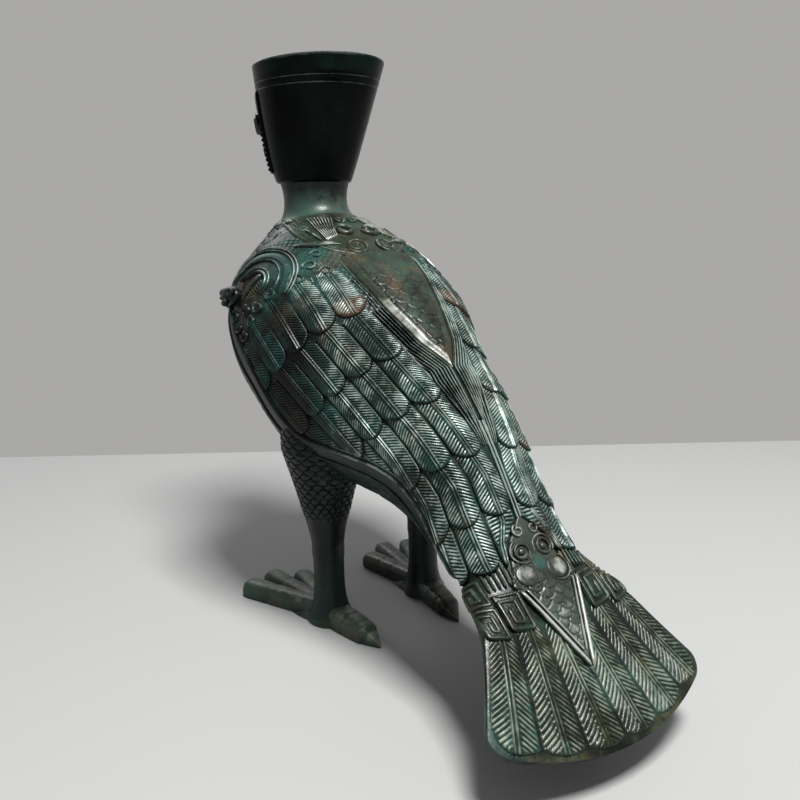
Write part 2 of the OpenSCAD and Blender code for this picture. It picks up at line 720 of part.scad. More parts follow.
// A thigh: from the shank's round top to its seat on the belly, with a tenon into the body
thigh_steps = 9;
thigh_power = 1.2;
function thigh_radius(z) =
    mix(shank_r, thigh_r, pow(min(max((z - knee_h) / thigh_rise, 0), 1), thigh_power));
function on_thigh(z, t, f = 1) = [leg_x + f * thigh_radius(z) * cos(t), f * thigh_radius(z) * sin(t), z];
// Height at which the thigh's side meets the body
function thigh_top(t, lo, hi, left = 20) =
    let (z = (lo + hi) / 2)
    left == 0 ? lo
    : in_body(on_thigh(z, t), seat_gap) ? thigh_top(t, lo, z, left - 1)
    : thigh_top(t, z, hi, left - 1);
module thigh() {
    angles = [for (j = [0:limb_sides - 1]) -360 * j / limb_sides];
    tops = [for (t = angles) thigh_top(t, knee_h, back_h - body_depth / 2)];
    walls = [for (i = [0:thigh_steps])
             [for (j = [0:limb_sides - 1])
              on_thigh(mix(knee_h + seat_gap, tops[j], i / thigh_steps), angles[j])]];
    seats = [for (i = [len(seat_shares) - 1:-1:0])
             [for (j = [0:limb_sides - 1])
              let (p = on_thigh(tops[j], angles[j], seat_shares[i]))
              body_under(p[0], p[1], seat_gap)]];
    centred() difference() {
        union() {
            loft(concat(walls, seats));
            translate([leg_x, 0, hip[2] - shank_tenon_len])
                cylinder(r = hip_tenon_r, h = shank_tenon_len + hip_tenon_len);
        }
        translate([leg_x, 0, knee_h - shank_tenon_len])
            cylinder(r = shank_tenon_r + fit_gap, h = 2 * shank_tenon_len + fit_gap);
    }
}
module left_thigh() {
    color(bronze) thigh();
}
module right_thigh() {
    color(bronze) right_side() thigh();
}

// A shank: a round bar, a little waisted, with a tenon at either end
shank_waist = 0.5;
module shank() {
    mid = (ankle_h + knee_h) / 2;
    low = ankle_h + seat_gap;
    centred() translate([leg_x, 0, 0]) {
        rotate_extrude() polygon([
            [0, low], [shank_r + shank_waist, low], [shank_r, mix(low, mid, 0.5)],
            [shank_r - shank_waist, mid], [shank_r, knee_h], [0, knee_h]
        ]);
        translate([0, 0, ankle_h - shank_tenon_len])
            cylinder(r = shank_tenon_r, h = knee_h - ankle_h + 2 * shank_tenon_len);
    }
}
module left_shank() {
    color(dark_bronze) shank();
}
module right_shank() {
    color(dark_bronze) right_side() shank();
}

// A foot: three front toes and a clawed hind toe round a flat-topped middle
toe_sides = 8;
// Height of a toe's straight sides, as a share of its height
toe_side = 0.25;
// Steps along a toe: [share of its length, share of its width, share of its height]
blunt_toe = [[0, 0.9, 0.8], [0.35, 0.85, 0.75], [0.55, 1, 1],
             [0.75, 0.9, 0.85], [0.92, 0.8, 0.75], [1, 0.45, 0.45]];
clawed_toe = [[0, 0.9, 0.8], [0.4, 0.9, 0.8], [0.6, 0.95, 0.85], [0.8, 0.75, 0.7], [1, 0.12, 0.2]];
module toe(turn, len, steps) {
    rotate([0, 0, turn]) loft([for (s = steps)
        concat([[-toe_w / 2 * s[1], -len * s[0], 0]],
               [for (j = [0:toe_sides])
                let (t = 180 - 180 * j / toe_sides)
                [toe_w / 2 * s[1] * cos(t), -len * s[0], toe_h * s[2] * mix(toe_side, 1, sin(t))]],
               [[toe_w / 2 * s[1], -len * s[0], 0]])]);
}
module foot() {
    centred() translate([leg_x, 0, 0]) rotate([0, 0, foot_turn]) difference() {
        union() {
            cylinder(r = ankle_r, h = ankle_h);
            toe(toe_spread, toe_len, blunt_toe);
            toe(0, toe_len, blunt_toe);
            toe(-toe_spread, inner_toe_len, blunt_toe);
            toe(180, hind_toe_len, clawed_toe);
        }
        translate([0, 0, ankle_h - shank_tenon_len - fit_gap])
            cylinder(r = shank_tenon_r + fit_gap, h = ankle_h);
    }
}
module left_foot() {
    color(worn_bronze) foot();
}
module right_foot() {
    color(worn_bronze) right_side() foot();
}

body_shell();
neck_collar();
mouth_cup();
face_mask();
beak();
left_eye_boss();
right_eye_boss();
shoulder_yoke();
back_pendant();
left_wing();
right_wing();
left_shoulder_boss();
right_shoulder_boss();
tail_fan();
tail_mask();
left_tail_coverts();
right_tail_coverts();
left_thigh();
right_thigh();
left_shank();
right_shank();
left_foot();
right_foot();
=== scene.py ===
import math

import bmesh
import bpy
import numpy as np
from mathutils import Matrix, Vector


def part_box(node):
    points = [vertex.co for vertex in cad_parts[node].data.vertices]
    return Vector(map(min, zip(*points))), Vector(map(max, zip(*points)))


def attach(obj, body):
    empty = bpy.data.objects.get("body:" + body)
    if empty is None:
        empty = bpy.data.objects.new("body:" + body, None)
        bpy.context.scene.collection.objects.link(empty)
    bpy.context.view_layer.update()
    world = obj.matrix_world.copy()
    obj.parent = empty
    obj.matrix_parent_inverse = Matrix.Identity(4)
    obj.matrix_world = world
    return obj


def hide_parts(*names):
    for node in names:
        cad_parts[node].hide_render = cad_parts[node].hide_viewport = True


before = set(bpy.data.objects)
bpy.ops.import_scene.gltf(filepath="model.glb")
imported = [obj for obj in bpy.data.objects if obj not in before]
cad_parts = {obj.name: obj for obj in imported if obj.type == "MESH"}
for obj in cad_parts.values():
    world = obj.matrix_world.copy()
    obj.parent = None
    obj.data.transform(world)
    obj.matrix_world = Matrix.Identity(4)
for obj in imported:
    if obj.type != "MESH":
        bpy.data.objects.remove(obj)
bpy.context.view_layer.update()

# Sizes in millimetres, as the vessel is built: y = 0 at the legs, the bird faces -Y, its left is +X
MM = 0.001
shank_low, shank_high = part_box("left_shank")
leg_x = (shank_low.x + shank_high.x) / 2 / MM
leg_y = (shank_low.y + shank_high.y) / 2 / MM

body_len, body_w, body_depth = 216, 110, 100
back_tilt, back_h, body_lead = math.radians(45), 189, 49
breast_dip, back_swell = 49, 3
root_w, root_depth, root_dip = 52, 21.5, 5.5
tail_len, tail_w, tail_t, tail_bow, tail_droop = 72, 102, 4, 15, 2
flatten_share, tail_flare_power, plate_edge_power = 0.5, 1.25, 0.3

neck_y, neck_r, neck_flare = 52.5, 15.1, 2.6
rim_h, crease_h, rim_len, rim_w = 262, 208, 70.8, 61.2
cup_lean, crease_r, crease_step, cup_wall, cup_floor = 8.5, 18.3, 1.2, 3, 4
cup_front_power, cup_side_power = 0.48, 0.82
cup_bore_r, cup_spigot_r, cup_spigot_len = 8.3, 10.3, 7

wing_front, wing_round = 31, 9
boss_a, boss_turn, boss_r = 46, 9, 5.6
yoke_r, yoke_reach, yoke_power = 23, 40, 3.2
pendant_y, pendant_point = 10.5, 136.5
mask_up, mask_down = 14, 47

thigh_r, thigh_rise, thigh_power, knee_h = 19.5, 47, 1.2, 40
shank_r, shank_waist, ankle_h, ankle_r = 7.7, 0.5, 11, 9.2
toe_len, inner_toe_len, hind_toe_len = 56, 47, 38
toe_w, toe_h, toe_spread, foot_turn = 10.5, 9.8, 16, 8


def mix(a, b, t):
    return a + (b - a) * t


def ease(t):
    c = np.clip(t, 0, 1)
    return c * c * (3 - 2 * c)


def hump(distance, width):
    return np.exp(-((distance / width) ** 2))


def spline(values, u):
    """A smooth curve through even steps of the values."""
    v = np.asarray(values, float)
    n = len(v) - 1
    x = np.clip(u, 0, 1) * n
    k = np.minimum(np.floor(x).astype(int), n - 1)
    f = x - k
    p1, p2 = v[k], v[k + 1]
    p0 = np.where(k > 0, v[np.maximum(k - 1, 0)], 2 * p1 - p2)
    p3 = np.where(k < n - 1, v[np.minimum(k + 2, n)], 2 * p2 - p1)
    return p1 + 0.5 * f * (p2 - p0 + f * (2 * p0 - 5 * p1 + 4 * p2 - p3 + f * (3 * (p1 - p2) + p3 - p0)))


# Skin of the body and tail: a is a length along the back line, s a distance over the skin from the middle
# of the back, positive on the left

half_widths = [g * body_w / 2 for g in (0, 0.25, 0.53, 0.8, 0.97, 1)]
half_widths += [mix(root_w / 2, body_w / 2, g) for g in (0.65, 0.085, 0)]
depths = [g * body_depth for g in (0, 0.36, 0.645, 0.85, 0.98, 1)]
depths += [mix(root_depth, body_depth, g) for g in (0.97, 0.54, 0)]
crests = [-d * breast_dip for d in (1, 0.755, 0.55, 0.35, 0.165, 0.02)]
crests += [back_swell, back_swell, -root_dip]
girth_line = [0.46, 0.46, 0.46, 0.48, 0.5, 0.48, 0.43, 0.66, 0.5]


def section(a):
    """Half width, rise, drop, level, edge power, droop and bow of the bird at length a along its back."""
    a = np.asarray(a, float)
    u = np.sqrt(np.clip(a, 0, body_len) / body_len)
    depth = spline(depths, u)
    low = depth * spline(girth_line, u)
    q = np.clip((a - body_len) / tail_len, 0, 1)
    flat = ease(q / flatten_share)
    plate = mix(root_depth, tail_t, flat)
    tail = a > body_len
    half = np.where(tail, mix(root_w / 2, tail_w / 2, q**tail_flare_power), spline(half_widths, u))
    rise = np.where(tail, plate / 2, depth - low)
    drop = np.where(tail, plate / 2, low)
    level = np.where(tail, -root_dip - plate / 2, spline(crests, u) - depth + low)
    return half, rise, drop, level, mix(1, plate_edge_power, flat), tail_droop * q, tail_bow * q


def place(x, a, m):
    """From lengths along and above the back line to the bird's frame."""
    along = a - body_lead
    y = along * math.cos(back_tilt) + m * math.sin(back_tilt)
    z = back_h - along * math.sin(back_tilt) + m * math.cos(back_tilt)
    return np.stack([x, y, z], -1)


def skin(a, angle):
    """The skin at length a and an angle in degrees above the widest line, on the left side."""
    half, rise, drop, level, power, droop, bow = section(a)
    c, s = np.cos(np.radians(angle)), np.sin(np.radians(angle))
    m = np.where(s >= 0, rise, -drop) * np.abs(s) ** power
    return place(half * c, a - bow * c * c, level + m - droop * c * c)


# Distances over the skin, measured from the middle of the back round to the belly
stations = np.linspace(0.5, body_len + tail_len, 320)
turns = np.linspace(90, -89, 240)
distances = np.arange(0, 170, 0.5)


def girth_arcs():
    """Distance round the section from the middle of the back, for each station and turn."""
    half, rise, drop, _, power, _, _ = (v[:, None] for v in section(stations))
    c, s = np.cos(np.radians(turns)), np.sin(np.radians(turns))
    x = half * c
    m = np.where(s >= 0, rise, -drop) * np.abs(s) ** power
    steps = np.hypot(np.diff(x, axis=1), np.diff(m, axis=1))
    return np.concatenate([np.zeros((len(stations), 1)), np.cumsum(steps, axis=1)], 1)


arcs = girth_arcs()
turn_table = np.array([np.interp(distances, arc, turns) for arc in arcs])


def station_at(a):
    """The number of the station at length a, with its fraction."""
    number = (np.asarray(a, float) - stations[0]) / (stations[1] - stations[0])
    return np.clip(number, 0, len(stations) - 1.001)


def turn_at(a, s):
    """The angle at a distance s from the middle of the back."""
    i = station_at(a)
    j = np.clip(s / distances[1], 0, len(distances) - 1.001)
    i0, j0 = i.astype(int), j.astype(int)
    near = mix(turn_table[i0, j0], turn_table[i0, j0 + 1], j - j0)
    far = mix(turn_table[i0 + 1, j0], turn_table[i0 + 1, j0 + 1], j - j0)
    return mix(near, far, i - i0)


def distance_at(a, angle):
    """How far the skin at that angle lies from the middle of the back."""
    i = station_at(a)
    column = np.array([np.interp(-angle, -turns, arc) for arc in arcs])
    i0 = i.astype(int)
    return mix(column[i0], column[i0 + 1], i - i0)


def over_skin(a, s):
    """The skin at length a and distance s from the middle of the back, left of it where s is positive."""
    p = skin(a, turn_at(a, np.abs(s)))
    p[..., 0] *= np.where(s < 0, -1, 1)
    return p


# Angle of the wing's lower edge above the widest line; it rises towards the breast and the tail
edge_turn = np.interp(stations, [40, 90, 115, 133, 147, 160, 175, 186], [6, 3, 1, -3, -7, -7, -3, 0])
border_line = np.array([np.interp(-turn, -turns, arc) for turn, arc in zip(edge_turn, arcs)])


def border(a):
    """Distance of the wing's lower edge from the middle of the back."""
    return np.interp(a, stations, border_line)


def wing_sheet(a, below):
    """The skin at a distance below the wing's lower edge."""
    return over_skin(a, below + border(a))


def raised(surface, p, q, h, step=0.3):
    """Points of a surface lifted by h along its outward normal."""
    across = surface(p, q + step) - surface(p, q - step)
    along = surface(p + step, q) - surface(p - step, q)
    n = np.cross(across, along)
    n /= np.maximum(np.linalg.norm(n, axis=-1, keepdims=True), 1e-9)
    return surface(p, q) + n * np.asarray(h)[..., None]


def in_body(p):
    along = body_lead + p[..., 1] * math.cos(back_tilt) - (p[..., 2] - back_h) * math.sin(back_tilt)
    above = p[..., 1] * math.sin(back_tilt) + (p[..., 2] - back_h) * math.cos(back_tilt)
    half, rise, drop, level, _, _, _ = section(along)
    d = above - level
    reach = np.where(d > 0, rise, drop)
    inside = (p[..., 0] / np.maximum(half, 1e-6)) ** 2 + (d / np.maximum(reach, 1e-6)) ** 2 < 1
    return inside & (along > 0) & (along < body_len)


core_a = body_len * np.linspace(0.375, 1, 120) ** 2
core = place(0 * core_a, core_a, section(core_a)[3])


def shoulder(x, y):
    """The top of the body over a place on plan."""
    x, y = np.broadcast_arrays(np.asarray(x, float), np.asarray(y, float))
    low = np.interp(y, core[:, 1], core[:, 2])
    high = np.full_like(low, rim_h)
    for _ in range(26):
        z = (low + high) / 2
        inside = in_body(np.stack([x, y, z], -1))
        low, high = np.where(inside, z, low), np.where(inside, high, z)
    return np.stack([x, y, (low + high) / 2], -1)


# Making meshes

class Piece:
    """A mesh built in millimetres; each vertex keeps its relief, and its stain from green to ochre."""

    def __init__(self):
        self.bm = bmesh.new()
        self.relief = self.bm.verts.layers.float.new("relief")
        self.stain = self.bm.verts.layers.float.new("stain")

    def grid(self, nu, nv, rule):
        """A grid of nu by nv cells, shaped by a rule that gives points, relief and perhaps stain."""
        made = bmesh.ops.create_grid(self.bm, x_segments=nu, y_segments=nv, size=1)["verts"]
        uv = (np.array([v.co[:2] for v in made]) + 1) / 2
        self.move(made, *rule(uv[:, 0], uv[:, 1]))
        return made

    def move(self, verts, points, relief=None, stain=None):
        for v, p in zip(verts, points.tolist()):
            v.co = p
        for layer, values in ((self.relief, relief), (self.stain, stain)):
            if values is not None:
                for v, value in zip(verts, np.broadcast_to(values, len(verts)).tolist()):
                    v[layer] = value

    def weld(self, distance=0.01):
        bmesh.ops.remove_doubles(self.bm, verts=self.bm.verts[:], dist=distance)
        bmesh.ops.dissolve_degenerate(self.bm, dist=distance / 4, edges=self.bm.edges[:])

    def close_under(self, depth):
        """Walls down from every open edge of a flat pattern to a depth, and a floor across them."""
        rim = [e for e in self.bm.edges if e.is_boundary]
        made = bmesh.ops.extrude_edge_only(self.bm, edges=rim)["geom"]
        for v in made:
            if isinstance(v, bmesh.types.BMVert):
                v.co.z = depth
                v[self.relief] = 0
        bmesh.ops.holes_fill(self.bm, edges=[e for e in made if isinstance(e, bmesh.types.BMEdge)], sides=0)

    def lay(self, surface):
        """Flat points (p, q, height) onto a surface."""
        verts = self.bm.verts[:]
        flat = np.array([v.co[:] for v in verts])
        self.move(verts, raised(surface, flat[:, 0], flat[:, 1], flat[:, 2]))

    def set_down(self, surface, depth, gap=0.02):
        """Closes a flat pattern underneath and lays it on a surface."""
        self.weld(gap)
        self.close_under(-depth)
        self.lay(surface)

    def bead(self, surface, path, width, height, level=0.0, sides=8, taper=1.0, relief=0.68, flat=0.7,
             stain=0.0):
        """A flat-topped ridge along a path on a surface, running out at its ends."""
        path = np.asarray(path, float)
        n = len(path) - 1
        tangent = np.gradient(path, axis=0)
        tangent /= np.maximum(np.linalg.norm(tangent, axis=1, keepdims=True), 1e-9)
        run = np.concatenate([[0], np.cumsum(np.linalg.norm(np.diff(path, axis=0), axis=1))])
        ends = np.minimum(run, run[-1] - run)
        size = np.sqrt(np.clip(ends / (taper * width), 0, 1)) if taper else np.ones(n + 1)

        def rule(u, v):
            k = np.rint(u * n).astype(int)
            turn = 2 * np.pi * v
            side = np.cos(turn) * width / 2 * size[k]
            p = path[k, 0] - tangent[k, 1] * side
            q = path[k, 1] + tangent[k, 0] * side
            lift = np.sin(turn)
            h = level + np.sign(lift) * np.abs(lift) ** flat * height * size[k]
            return raised(surface, p, q, h), relief * np.clip(0.15 + 0.95 * lift, 0, 1), stain

        self.grid(n, sides, rule)

    def roll(self, rings, steps, rule):
        """A closed skin through rings; the rule gets the ring's number and the turn round it."""
        def rolled(u, v):
            return rule(np.rint(u * rings).astype(int), 2 * np.pi * np.rint(v * steps) / steps)

        self.grid(rings, steps, rolled)

    def mirrored(self):
        other = Piece()
        other.bm.free()
        other.bm = self.bm.copy()
        other.relief = other.bm.verts.layers.float["relief"]
        other.stain = other.bm.verts.layers.float["stain"]
        bmesh.ops.scale(other.bm, verts=other.bm.verts[:], vec=(-1, 1, 1))
        bmesh.ops.reverse_faces(other.bm, faces=other.bm.faces[:])
        return other

    def done(self, name, finish, slot, nodes, sharp=50):
        """The finished object: welded, turned outwards, in metres, riding on the vessel."""
        self.weld(0.004)
        bmesh.ops.recalc_face_normals(self.bm, faces=self.bm.faces[:])
        bmesh.ops.translate(self.bm, verts=self.bm.verts[:], vec=(0, leg_y, 0))
        bmesh.ops.scale(self.bm, verts=self.bm.verts[:], vec=(MM, MM, MM))
        for f in self.bm.faces:
            f.smooth = True
        mesh = bpy.data.meshes.new(name)
        self.bm.to_mesh(mesh)
        self.bm.free()
        mesh.set_sharp_from_angle(angle=math.radians(sharp))
        mesh.materials.append(finish)
        obj = bpy.data.objects.new(name, mesh)
        bpy.context.collection.objects.link(obj)
        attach(obj, "root")
        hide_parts(*nodes)
        return obj


def pair(piece, name, finish, slot, sharp=50):
    """A left piece and its mirror image on the right, each in place of its own node."""
    other = piece.mirrored()
    piece.done("left_" + name + "_dressed", finish, slot, ["left_" + name], sharp)
    other.done("right_" + name + "_dressed", finish, slot, ["right_" + name], sharp)


def curl(centre, r_out, r_in, start, sweep, points=40):
    """A spiral path, angles in degrees."""
    t = np.linspace(0, 1, points)
    r = mix(r_out, r_in, t)
    w = np.radians(start + sweep * t)
    return np.stack([centre[0] + r * np.cos(w), centre[1] + r * np.sin(w)], -1)


def line(*corners, spacing=0.7):
    """A path through corners, with points along it."""
    c = np.asarray(corners, float)
    run = np.concatenate([[0], np.cumsum(np.linalg.norm(np.diff(c, axis=0), axis=1))])
    at = np.linspace(0, run[-1], max(int(run[-1] / spacing), 4) + 1)
    return np.stack([np.interp(at, run, c[:, 0]), np.interp(at, run, c[:, 1])], -1)


def path_of(p, q):
    """A path from its two coordinates, either of which may be one number."""
    return np.stack(np.broadcast_arrays(p, q), -1)


def ring_share(k, rings):
    """How far along a closed roll each ring lies, from 0 to 1."""
    return np.clip((k - 1) / (rings - 2), 0, 1)


def open_ring(k, rings):
    """1 on the open rings of a closed roll, 0 on the two that close its ends."""
    return np.where((k == 0) | (k == rings), 0, 1)


def rounded(to_edge, radius, drop):
    """How far a plate's top falls away near its edge."""
    inside = 1 - np.clip(to_edge / radius, 0, 1)
    return -drop * (1 - np.sqrt(np.clip(1 - inside**2, 0, 1)))


def scale_grooves(u, v, pitch, groove=0.16):
    """Outlines of overlapping round scales: 0 on a scale and 1 in a groove; v runs to their tips."""
    depth = np.zeros_like(u)
    taken = np.zeros(u.shape, bool)
    reach, rise = 0.54 * pitch, 0.5 * pitch
    first = np.floor(v / rise)
    for back in (-2, -1, 0, 1, 2):
        row = first + back
        shift = np.where(np.mod(row, 2) == 0, 0.0, 0.5)
        middle = (np.floor(u / pitch - shift + 0.5) + shift) * pitch
        to_rim = reach - np.hypot(u - middle, v - row * rise)
        inside = (to_rim > 0) & ~taken
        depth = np.where(inside, hump(to_rim / reach, groove), depth)
        taken |= inside
    return depth


def lump(piece, surface, centre, size, height, level=0.0, relief=0.9, fine=16, flat=1.0):
    """A smooth dome on a surface."""
    made = bmesh.ops.create_uvsphere(piece.bm, u_segments=fine, v_segments=fine // 2, radius=1)["verts"]
    ball = np.array([v.co[:] for v in made])
    p, q = centre[0] + size[0] * ball[:, 0], centre[1] + size[1] * ball[:, 1]
    h = level + height * np.sign(ball[:, 2]) * np.abs(ball[:, 2]) ** flat
    piece.move(made, raised(surface, p, q, h), relief * np.clip(0.5 + 0.5 * ball[:, 2], 0, 1))


def ring_eye(piece, surface, centre, r, level, height, width):
    """A ring with a bead in the middle."""
    ring = curl(centre, r, r, 0, 360, 33)
    piece.bead(surface, ring, width, height, level=level, taper=0, relief=0.58)
    lump(piece, surface, centre, (r * 0.5, r * 0.5), height, level=level, relief=0.6)


# Finishes

def bronze(name, dark, body, worn, green, ochre, gloss=0.3, wear=0.7, bloom=0.55, stain=0.35, shine=0.3,
           metal=0.15):
    """Old bronze: black in the grooves, green-black on the flats, patches of verdigris, worn ridges."""
    mat = bpy.data.materials.new(name)
    mat.use_nodes = True
    tree = mat.node_tree
    shader = tree.nodes["Principled BSDF"]
    shader.inputs["Specular IOR Level"].default_value = shine
    coords = tree.nodes.new("ShaderNodeTexCoord")

    def attribute(layer):
        n = tree.nodes.new("ShaderNodeAttribute")
        n.attribute_name = layer
        return n.outputs["Fac"]

    def noise(scale, detail, roughness=0.6):
        n = tree.nodes.new("ShaderNodeTexNoise")
        n.inputs["Scale"].default_value = scale
        n.inputs["Detail"].default_value = detail
        n.inputs["Roughness"].default_value = roughness
        tree.links.new(coords.outputs["Object"], n.inputs["Vector"])
        return n.outputs["Fac"]

    def span(value, low, high, start=0.0, end=1.0):
        n = tree.nodes.new("ShaderNodeMapRange")
        n.interpolation_type = "SMOOTHSTEP"
        n.inputs["From Min"].default_value = low
        n.inputs["From Max"].default_value = high
        n.inputs["To Min"].default_value = start
        n.inputs["To Max"].default_value = end
        tree.links.new(value, n.inputs["Value"])
        return n.outputs["Result"]

    def math_of(kind, a, b):
        n = tree.nodes.new("ShaderNodeMath")
        n.operation = kind
        for socket, value in zip(n.inputs, (a, b)):
            if isinstance(value, (int, float)):
                socket.default_value = value
            else:
                tree.links.new(value, socket)
        return n.outputs[0]

    def blend(factor, first, second):
        n = tree.nodes.new("ShaderNodeMix")
        n.data_type = "RGBA"
        tree.links.new(factor, n.inputs[0])
        for socket, value in ((n.inputs[6], first), (n.inputs[7], second)):
            if isinstance(value, tuple):
                socket.default_value = (*value, 1)
            else:
                tree.links.new(value, socket)
        return n.outputs[2]

    patches = noise(32, 5, 0.65)
    mottle = noise(190, 5)
    specks = noise(800, 4)
    grain = noise(2400, 3)
    uneven = math_of("ADD", span(mottle, 0.25, 0.75, -0.13, 0.13), span(patches, 0.3, 0.7, -0.1, 0.1))
    ragged = math_of("ADD", attribute("relief"), uneven)
    spread = math_of("ADD", attribute("stain"), span(patches, 0.3, 0.7, -0.25, 0.25))
    flats = span(ragged, 0.12, 0.5)
    tops = span(ragged, 0.56, 0.86, 0.0, wear)
    verdigris = math_of("MULTIPLY", span(patches, 0.44, 0.64, 0.0, bloom),
                        span(specks, 0.3, 0.55, 0.25, 1.0))
    rust = math_of("MULTIPLY", span(noise(42, 4), 0.53, 0.68, 0.0, stain),
                   span(mottle, 0.3, 0.6, 0.4, 1.0))
    verdigris = math_of("MAXIMUM", verdigris, span(spread, -0.3, -0.8, 0.0, 0.85))
    rust = math_of("MAXIMUM", rust, span(spread, 0.3, 0.8, 0.0, 0.85))
    ground = blend(flats, dark, body)
    ground = blend(math_of("MULTIPLY", verdigris, span(ragged, 0.05, 0.35, 0.3, 1.0)), ground, green)
    ground = blend(math_of("MULTIPLY", rust, span(ragged, 0.05, 0.35, 0.3, 1.0)), ground, ochre)
    ground = blend(tops, ground, worn)
    tree.links.new(ground, shader.inputs["Base Color"])
    tree.links.new(span(ragged, 0.5, 0.85, 0.02, metal), shader.inputs["Metallic"])
    rough = math_of("ADD", span(patches, 0.35, 0.7, gloss - 0.05, gloss + 0.14),
                    span(specks, 0.3, 0.7, -0.08, 0.1))
    tree.links.new(rough, shader.inputs["Roughness"])
    bump = tree.nodes.new("ShaderNodeBump")
    bump.inputs["Strength"].default_value = 0.3
    bump.inputs["Distance"].default_value = 0.0004
    tree.links.new(math_of("ADD", math_of("MULTIPLY", specks, 0.7), math_of("MULTIPLY", grain, 0.3)),
                   bump.inputs["Height"])
    tree.links.new(bump.outputs["Normal"], shader.inputs["Normal"])
    return mat


wing_bronze = bronze("wing_bronze", (0.0015, 0.003, 0.0025), (0.011, 0.024, 0.020), (0.46, 0.54, 0.49),
                     (0.014, 0.072, 0.059), (0.070, 0.037, 0.018),
                     stain=0.45, bloom=0.65, shine=0.22, gloss=0.32, wear=0.78, metal=0.4)
back_bronze = bronze("back_bronze", (0.003, 0.005, 0.003), (0.019, 0.023, 0.014), (0.42, 0.44, 0.39),
                     (0.022, 0.062, 0.044), (0.085, 0.050, 0.024), stain=0.7)
mask_bronze = bronze("mask_bronze", (0.003, 0.005, 0.003), (0.020, 0.024, 0.018), (0.46, 0.48, 0.43),
                     (0.014, 0.060, 0.046), (0.050, 0.040, 0.020), stain=0.4, bloom=0.3, shine=0.5)
tail_bronze = bronze("tail_bronze", (0.0015, 0.003, 0.002), (0.012, 0.018, 0.010), (0.28, 0.30, 0.24),
                     (0.020, 0.092, 0.068), (0.052, 0.046, 0.015), stain=0.7, wear=0.65, bloom=0.45)
body_bronze = bronze("body_bronze", (0.0015, 0.0025, 0.002), (0.005, 0.0095, 0.008), (0.09, 0.105, 0.095),
                     (0.007, 0.028, 0.024), (0.022, 0.019, 0.011), wear=0.35, stain=0.3, shine=0.2)
cup_bronze = bronze("cup_bronze", (0.0006, 0.001, 0.0009), (0.0010, 0.0020, 0.0017), (0.10, 0.12, 0.11),
                    (0.004, 0.016, 0.013), (0.005, 0.005, 0.003),
                    gloss=0.2, wear=0.5, bloom=0.35, shine=0.06)
neck_bronze = bronze("neck_bronze", (0.004, 0.007, 0.006), (0.034, 0.056, 0.045), (0.20, 0.23, 0.19),
                     (0.018, 0.062, 0.048), (0.034, 0.033, 0.018), gloss=0.34, wear=0.4)
# Painted light: the feet's bronze is lighter than the legs', standing in for the light that falls on the
# feet
foot_bronze_painted_light = bronze("foot_bronze_painted_light", (0.003, 0.005, 0.003), (0.024, 0.031, 0.022), (0.28, 0.29, 0.23),
                     (0.022, 0.075, 0.056), (0.070, 0.060, 0.030), gloss=0.34, wear=0.5)


# The hollow body: breast, flanks and belly

def girth_distance(a, angle):
    """Distance of each point of the skin from the middle of the back."""
    i = np.rint(station_at(a)).astype(int)
    share = np.clip((turns[0] - angle) / (turns[0] - turns[-1]), 0, 1) * (len(turns) - 1)
    j = np.minimum(share.astype(int), len(turns) - 2)
    return mix(arcs[i, j], arcs[i, j + 1], share - j)


breast_middle, breast_arm, breast_scale = -12, 48, 8.0
# Scales start this far below the wing's edge and end at a length along the back
scales_below, scales_end = 16, 200
# Under the neck the top of the skin is pushed down into the hollow
well_r, well_above, well_depth = 12, 150, 45


def body_piece():
    piece = Piece()
    bmesh.ops.create_uvsphere(piece.bm, u_segments=256, v_segments=220, radius=1)
    verts = piece.bm.verts[:]
    ball = np.array([v.co[:] for v in verts])
    share = np.arccos(np.clip(ball[:, 2], -1, 1)) / np.pi
    angle = np.degrees(np.arctan2(ball[:, 1], ball[:, 0]))
    a = np.clip(body_len * share**2, 0.05, body_len)
    side = np.where(np.abs(angle) > 90, -1, 1)
    angle = np.where(side < 0, np.sign(angle) * (180 - np.abs(angle)), angle)
    s = girth_distance(a, angle)
    below = s - border(a)
    cover = np.maximum(ease((below - scales_below) / 4), ease((wing_front - a) / 4))
    cover = cover * ease((scales_end - a) / 15)
    plain = skin(a, angle)
    level_round = breast_arm * np.arctan2(side * plain[:, 0], breast_middle - plain[:, 1])
    steep = 1 - np.abs(raised(skin, a, angle, np.ones_like(a))[:, 2] - plain[:, 2])
    cover = cover * ease((steep - 0.08) / 0.15)
    grooves = scale_grooves(level_round, -plain[:, 2] * 1.1, breast_scale) * cover
    h = 0.4 * cover - 0.8 * grooves
    points = raised(skin, a, angle, np.where(share > 0.99, 0, -h))
    points[:, 0] *= side
    to_neck = np.hypot(points[:, 0], points[:, 1] + neck_y)
    well = (to_neck < well_r) & (points[:, 2] > well_above)
    points[well, 2] -= well_depth
    piece.move(verts, points, np.clip(0.42 - 0.5 * grooves + 0.12 * cover, 0, 1))
    piece.done("body_shell_dressed", body_bronze, "bronze", ["body_shell"], sharp=60)


body_piece()

# Neck and cup

neck_low, neck_top_r = 188.3, crease_r - crease_step
neck_bore_r, neck_spigot_len = 10.5, 9
neck_foot, neck_foot_fade = 7.5, 3.2
neck_shade_low, neck_shade_len = 195, 12


def neck_radius(z):
    v = np.clip((z - neck_low) / (crease_h - neck_low), 0, 1)
    return neck_r + neck_flare * (1 - v) ** 3 + (neck_top_r - neck_r) * v**3


def ground_round_neck(r, t):
    """Height of the body's top at a radius r round the neck's axis."""
    return shoulder(r * np.sin(t), -neck_y + r * np.cos(t))[:, 2]


